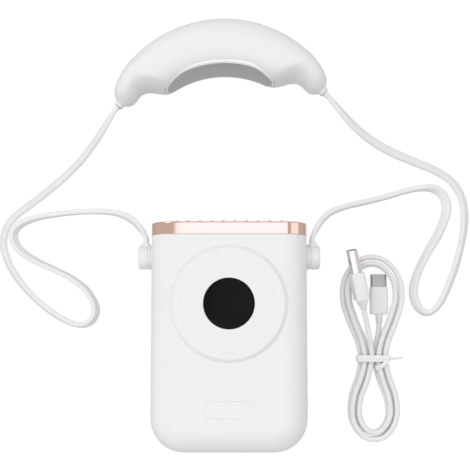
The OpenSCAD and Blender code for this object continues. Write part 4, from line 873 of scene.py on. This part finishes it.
# USB-A plug: a bent nickel-plated steel shell with its catch holes and plastic tongue, in a soft
# white overmould that steps down to the cable. It lies on its edge, its tip a little raised.
usb_a_lean, usb_a_rise = np.radians(12), np.radians(8)
usb_a_relief_l, usb_a_body_l, usb_a_l = 4.8 * mm, 14.4 * mm, 12 * mm
usb_a_body_t, usb_a_body_w, usb_a_t, usb_a_w, usb_a_wall = (v * mm for v in (7, 15.4, 4.5, 12, 0.35))


usb_a_way = laid((0, 1, 0), 0, usb_a_lean, usb_a_rise)
usb_a_at = np.array(lead_in[0]) * mm + fit * usb_a_way


def on_usb_a(name, outlines, heights, axis="y", centre=(0, 0, 0), hollow=False):
    """Outlines stacked along the USB-A plug's own axes, where it lies."""
    rows = laid(stacked(outlines, heights, axis, centre), usb_a_at, usb_a_lean, usb_a_rise)
    return woven(name, rows, along=hollow)


def moulded(t, w, r, l, start):
    """Outlines and heights of an overmould with softly rounded ends."""
    ends = [(0, 1.3), (0.12, 0.7), (0.4, 0.25), (0.9, 0)]
    steps = ends + [(l / mm - y, 0.6 * s) for y, s in ends[::-1]]
    return ([round_rect(t - s * mm, w - s * mm, r - s * mm / 2, per_corner=7) for _, s in steps],
            [start + y * mm for y, _ in steps])


bright_nickel = painted("bright_nickel", (0.70, 0.67, 0.65), 0.2, metal=1, cloud=200,
                        relief=0.003)
satin_nickel = painted("satin_nickel", (0.42, 0.415, 0.40), 0.42, metal=1, mottle=0.05,
                       cloud=300, relief=0.008)
soft_white = painted("soft_white", (0.80, 0.80, 0.805), 0.42, mottle=0.01, relief=0.012)
dark_plastic = painted("dark_plastic", (0.03, 0.03, 0.033), 0.45, mottle=0.1)

front_y = usb_a_relief_l + usb_a_body_l
edge = 0.12 * mm
catch_w, catch_h, catch_z, catch_share = 2.2 * mm, 2.4 * mm, 2.6 * mm, 0.48
tongue_t, tongue_w, tongue_x = 1.8 * mm, 10.9 * mm, -0.8 * mm
usb_a_out, usb_a_rim, usb_a_in = (round_rect(usb_a_t - 2 * d, usb_a_w - 2 * d, r * mm)
                                  for d, r in ((0, 0.5), (edge, 0.4), (usb_a_wall, 0.25)))
usb_a_shell = on_usb_a("usb_a_tube", [usb_a_out, usb_a_out, usb_a_rim, usb_a_in, usb_a_in],
                       [front_y, front_y + usb_a_l - edge, front_y + usb_a_l, front_y + usb_a_l,
                        front_y + usb_a_wall], hollow=True)
for side in (-1, 1):
    for way in (-1, 1):
        carve(usb_a_shell, on_usb_a("catch", [round_rect(catch_w, catch_h, lip)] * 2,
                                    [side * usb_a_t / 4, side * usb_a_t * 0.7], "x",
                                    (0, front_y + catch_share * usb_a_l, way * catch_z)))
dress(usb_a_shell, bright_nickel, "usb_a_shell")
tongue = on_usb_a("usb_a_tongue", [round_rect(tongue_t, tongue_w, 2 * fit)] * 2,
                  [front_y + usb_a_wall + fit, front_y + usb_a_l - 2 * usb_a_wall],
                  centre=(tongue_x, 0, 0))
dress(tongue, soft_white)
usb_a_mould = on_usb_a("usb_a_overmould", *moulded(usb_a_body_t, usb_a_body_w, usb_a_body_t / 4,
                                                   usb_a_body_l, usb_a_relief_l))
dress(usb_a_mould, soft_white, "usb_a_body", sharp=50)


def relief_rows(profile):
    """Outlines and heights of a strain relief: each entry is (width, depth, height) in mm."""
    return ([round_rect(w * mm, h * mm, 0.49 * min(w, h) * mm, per_corner=7)
             for w, h, _ in profile], [y * mm for _, _, y in profile])


usb_a_neck = on_usb_a("usb_a_neck", *relief_rows([
    (3.2, 3.2, 0), (3.5, 3.5, 0.15), (3.7, 3.7, 0.8), (3.4, 3.4, 0.95), (3.4, 3.4, 1.25),
    (3.9, 3.9, 1.4), (4.1, 4.1, 2.1), (4.6, 6.9, 2.35), (5.1, 7.6, 2.6), (5.2, 7.8, 4.8)]))
dress(usb_a_neck, soft_white, "usb_a_relief", sharp=40)

# USB-C plug: a pill-shaped nickel tube with a dark liner, in a slim white overmould with a ringed
# neck. It lies flat inside the hank's upper loops.
usb_c_at = np.array(lead_out[-1]) * mm + fit * np.array([0, 1, 0])
usb_c_relief_l, usb_c_body_l, usb_c_l = 4.6 * mm, 14.2 * mm, 6.6 * mm
usb_c_w, usb_c_t, usb_c_wall = 8.34 * mm, 2.5 * mm, 0.3 * mm
usb_c_body_w, usb_c_body_t = 9.4 * mm, 5.6 * mm
usb_c_front = usb_c_relief_l + usb_c_body_l


usb_c_out, usb_c_in = pill(usb_c_w, usb_c_t), pill(usb_c_w - 2 * usb_c_wall, usb_c_t - 2 * usb_c_wall)
usb_c_tip = usb_c_front + usb_c_l
usb_c_shell = lofted("usb_c_tube", [
    usb_c_out, usb_c_out, pill(usb_c_w - edge, usb_c_t - edge), usb_c_in, usb_c_in],
    [usb_c_front, usb_c_tip - edge, usb_c_tip, usb_c_tip, usb_c_front + usb_c_wall],
    "y", usb_c_at, hollow=True)
dress(usb_c_shell, satin_nickel, "usb_c_tip")
liner_w, liner_t = usb_c_w - 2 * usb_c_wall - fit, usb_c_t - 2 * usb_c_wall - fit
liner_out, liner_in = pill(liner_w, liner_t), pill(liner_w - 4 * fit, liner_t - 4 * fit)
liner = lofted("usb_c_liner", [liner_out, liner_out, liner_in, liner_in],
               [usb_c_front + usb_c_wall + fit, usb_c_tip - usb_c_wall, usb_c_tip - usb_c_wall,
                usb_c_front + 3 * usb_c_wall], "y", usb_c_at, hollow=True)
dress(liner, dark_plastic)
usb_c_mould = lofted("usb_c_overmould", *moulded(usb_c_body_w, usb_c_body_t, usb_c_body_t / 3,
                                                 usb_c_body_l, usb_c_relief_l), "y", usb_c_at)
dress(usb_c_mould, soft_white, "usb_c_body", sharp=50)
usb_c_neck = lofted("usb_c_neck", *relief_rows([
    (3.1, 3.1, 0), (3.3, 3.3, 0.15), (3.4, 3.4, 0.9), (3.1, 3.1, 1.05), (3.1, 3.1, 1.35),
    (3.6, 3.6, 1.5), (3.7, 3.7, 2.4), (3.3, 3.3, 2.55), (3.3, 3.3, 2.85), (3.8, 3.8, 3),
    (3.9, 3.9, 4.6)]), "y", usb_c_at)
dress(usb_c_neck, soft_white, "usb_c_relief", sharp=40)

# Intake guard in the back, the screws and other small metal pieces: the guard is a white moulding
# pressed into its hole, and the rest is bright steel.
bright_steel = painted("bright_steel", (0.62, 0.63, 0.64), 0.3, metal=1, mottle=0.05, cloud=900,
                       relief=0.006)


def dress_nodes(names, material):
    """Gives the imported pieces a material, joins their loose triangles and smooths them up to
    the edges where faces meet at more than 30 degrees."""
    for name in names.split():
        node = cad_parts[name]
        node.data.materials.clear()
        node.data.materials.append(material)
        node.data.polygons.foreach_set("use_smooth", np.ones(len(node.data.polygons), bool))
        weld = node.modifiers.new("weld", "WELD")
        weld.merge_threshold = 1e-6
        split = node.modifiers.new("edges", "EDGE_SPLIT")
        split.split_angle = np.radians(30)


dress_nodes("intake_guard", white_trim)
dress_nodes("case_screws board_screws sink_screws usb_c_socket left_clip right_clip motor_shaft",
            bright_steel)

# The blower and its motor: a grey scroll with its lid, a milky impeller on a steel rotor can,
# two bearings and a stator wound with enamelled copper on a black base.
dress_nodes("scroll_case scroll_lid",
            painted("grey_plastic", (0.17, 0.18, 0.20), 0.5, mottle=0.05))
dress_nodes("impeller", painted("milky_grey", (0.60, 0.62, 0.65), 0.4))
dress_nodes("rotor_can motor_bearings",
            painted("rotor_steel", (0.45, 0.46, 0.48), 0.35, metal=1, mottle=0.06, cloud=600))
dress_nodes("motor_stator",
            painted("copper_winding", (0.62, 0.26, 0.10), 0.3, metal=1, mottle=0.15, cloud=1500,
                    grain=6000, relief=0.05))
dress_nodes("motor_base display_module tact_switches", dark_plastic)

# Electronics and the battery: green boards with solder mask, a foil pouch on a foam pad, and in
# the neck pad a ceramic cooler chip against a finned aluminium heat sink.
dress_nodes("main_board display_board pad_board",
            painted("solder_mask", (0.010, 0.075, 0.035), 0.35, mottle=0.2, cloud=700, relief=0.01))
dress_nodes("battery",
            painted("battery_foil", (0.34, 0.36, 0.40), 0.42, metal=0.6, mottle=0.08, cloud=160,
                    grain=900, relief=0.06))
dress_nodes("battery_pad",
            painted("black_foam", (0.012, 0.012, 0.014), 0.95, mottle=0.3, cloud=2200, grain=3600,
                    relief=0.12))
dress_nodes("heat_sink",
            painted("raw_aluminium", (0.60, 0.61, 0.62), 0.4, metal=1, mottle=0.05, cloud=800))
dress_nodes("cooler_chip", painted("white_ceramic", (0.84, 0.83, 0.80), 0.5))
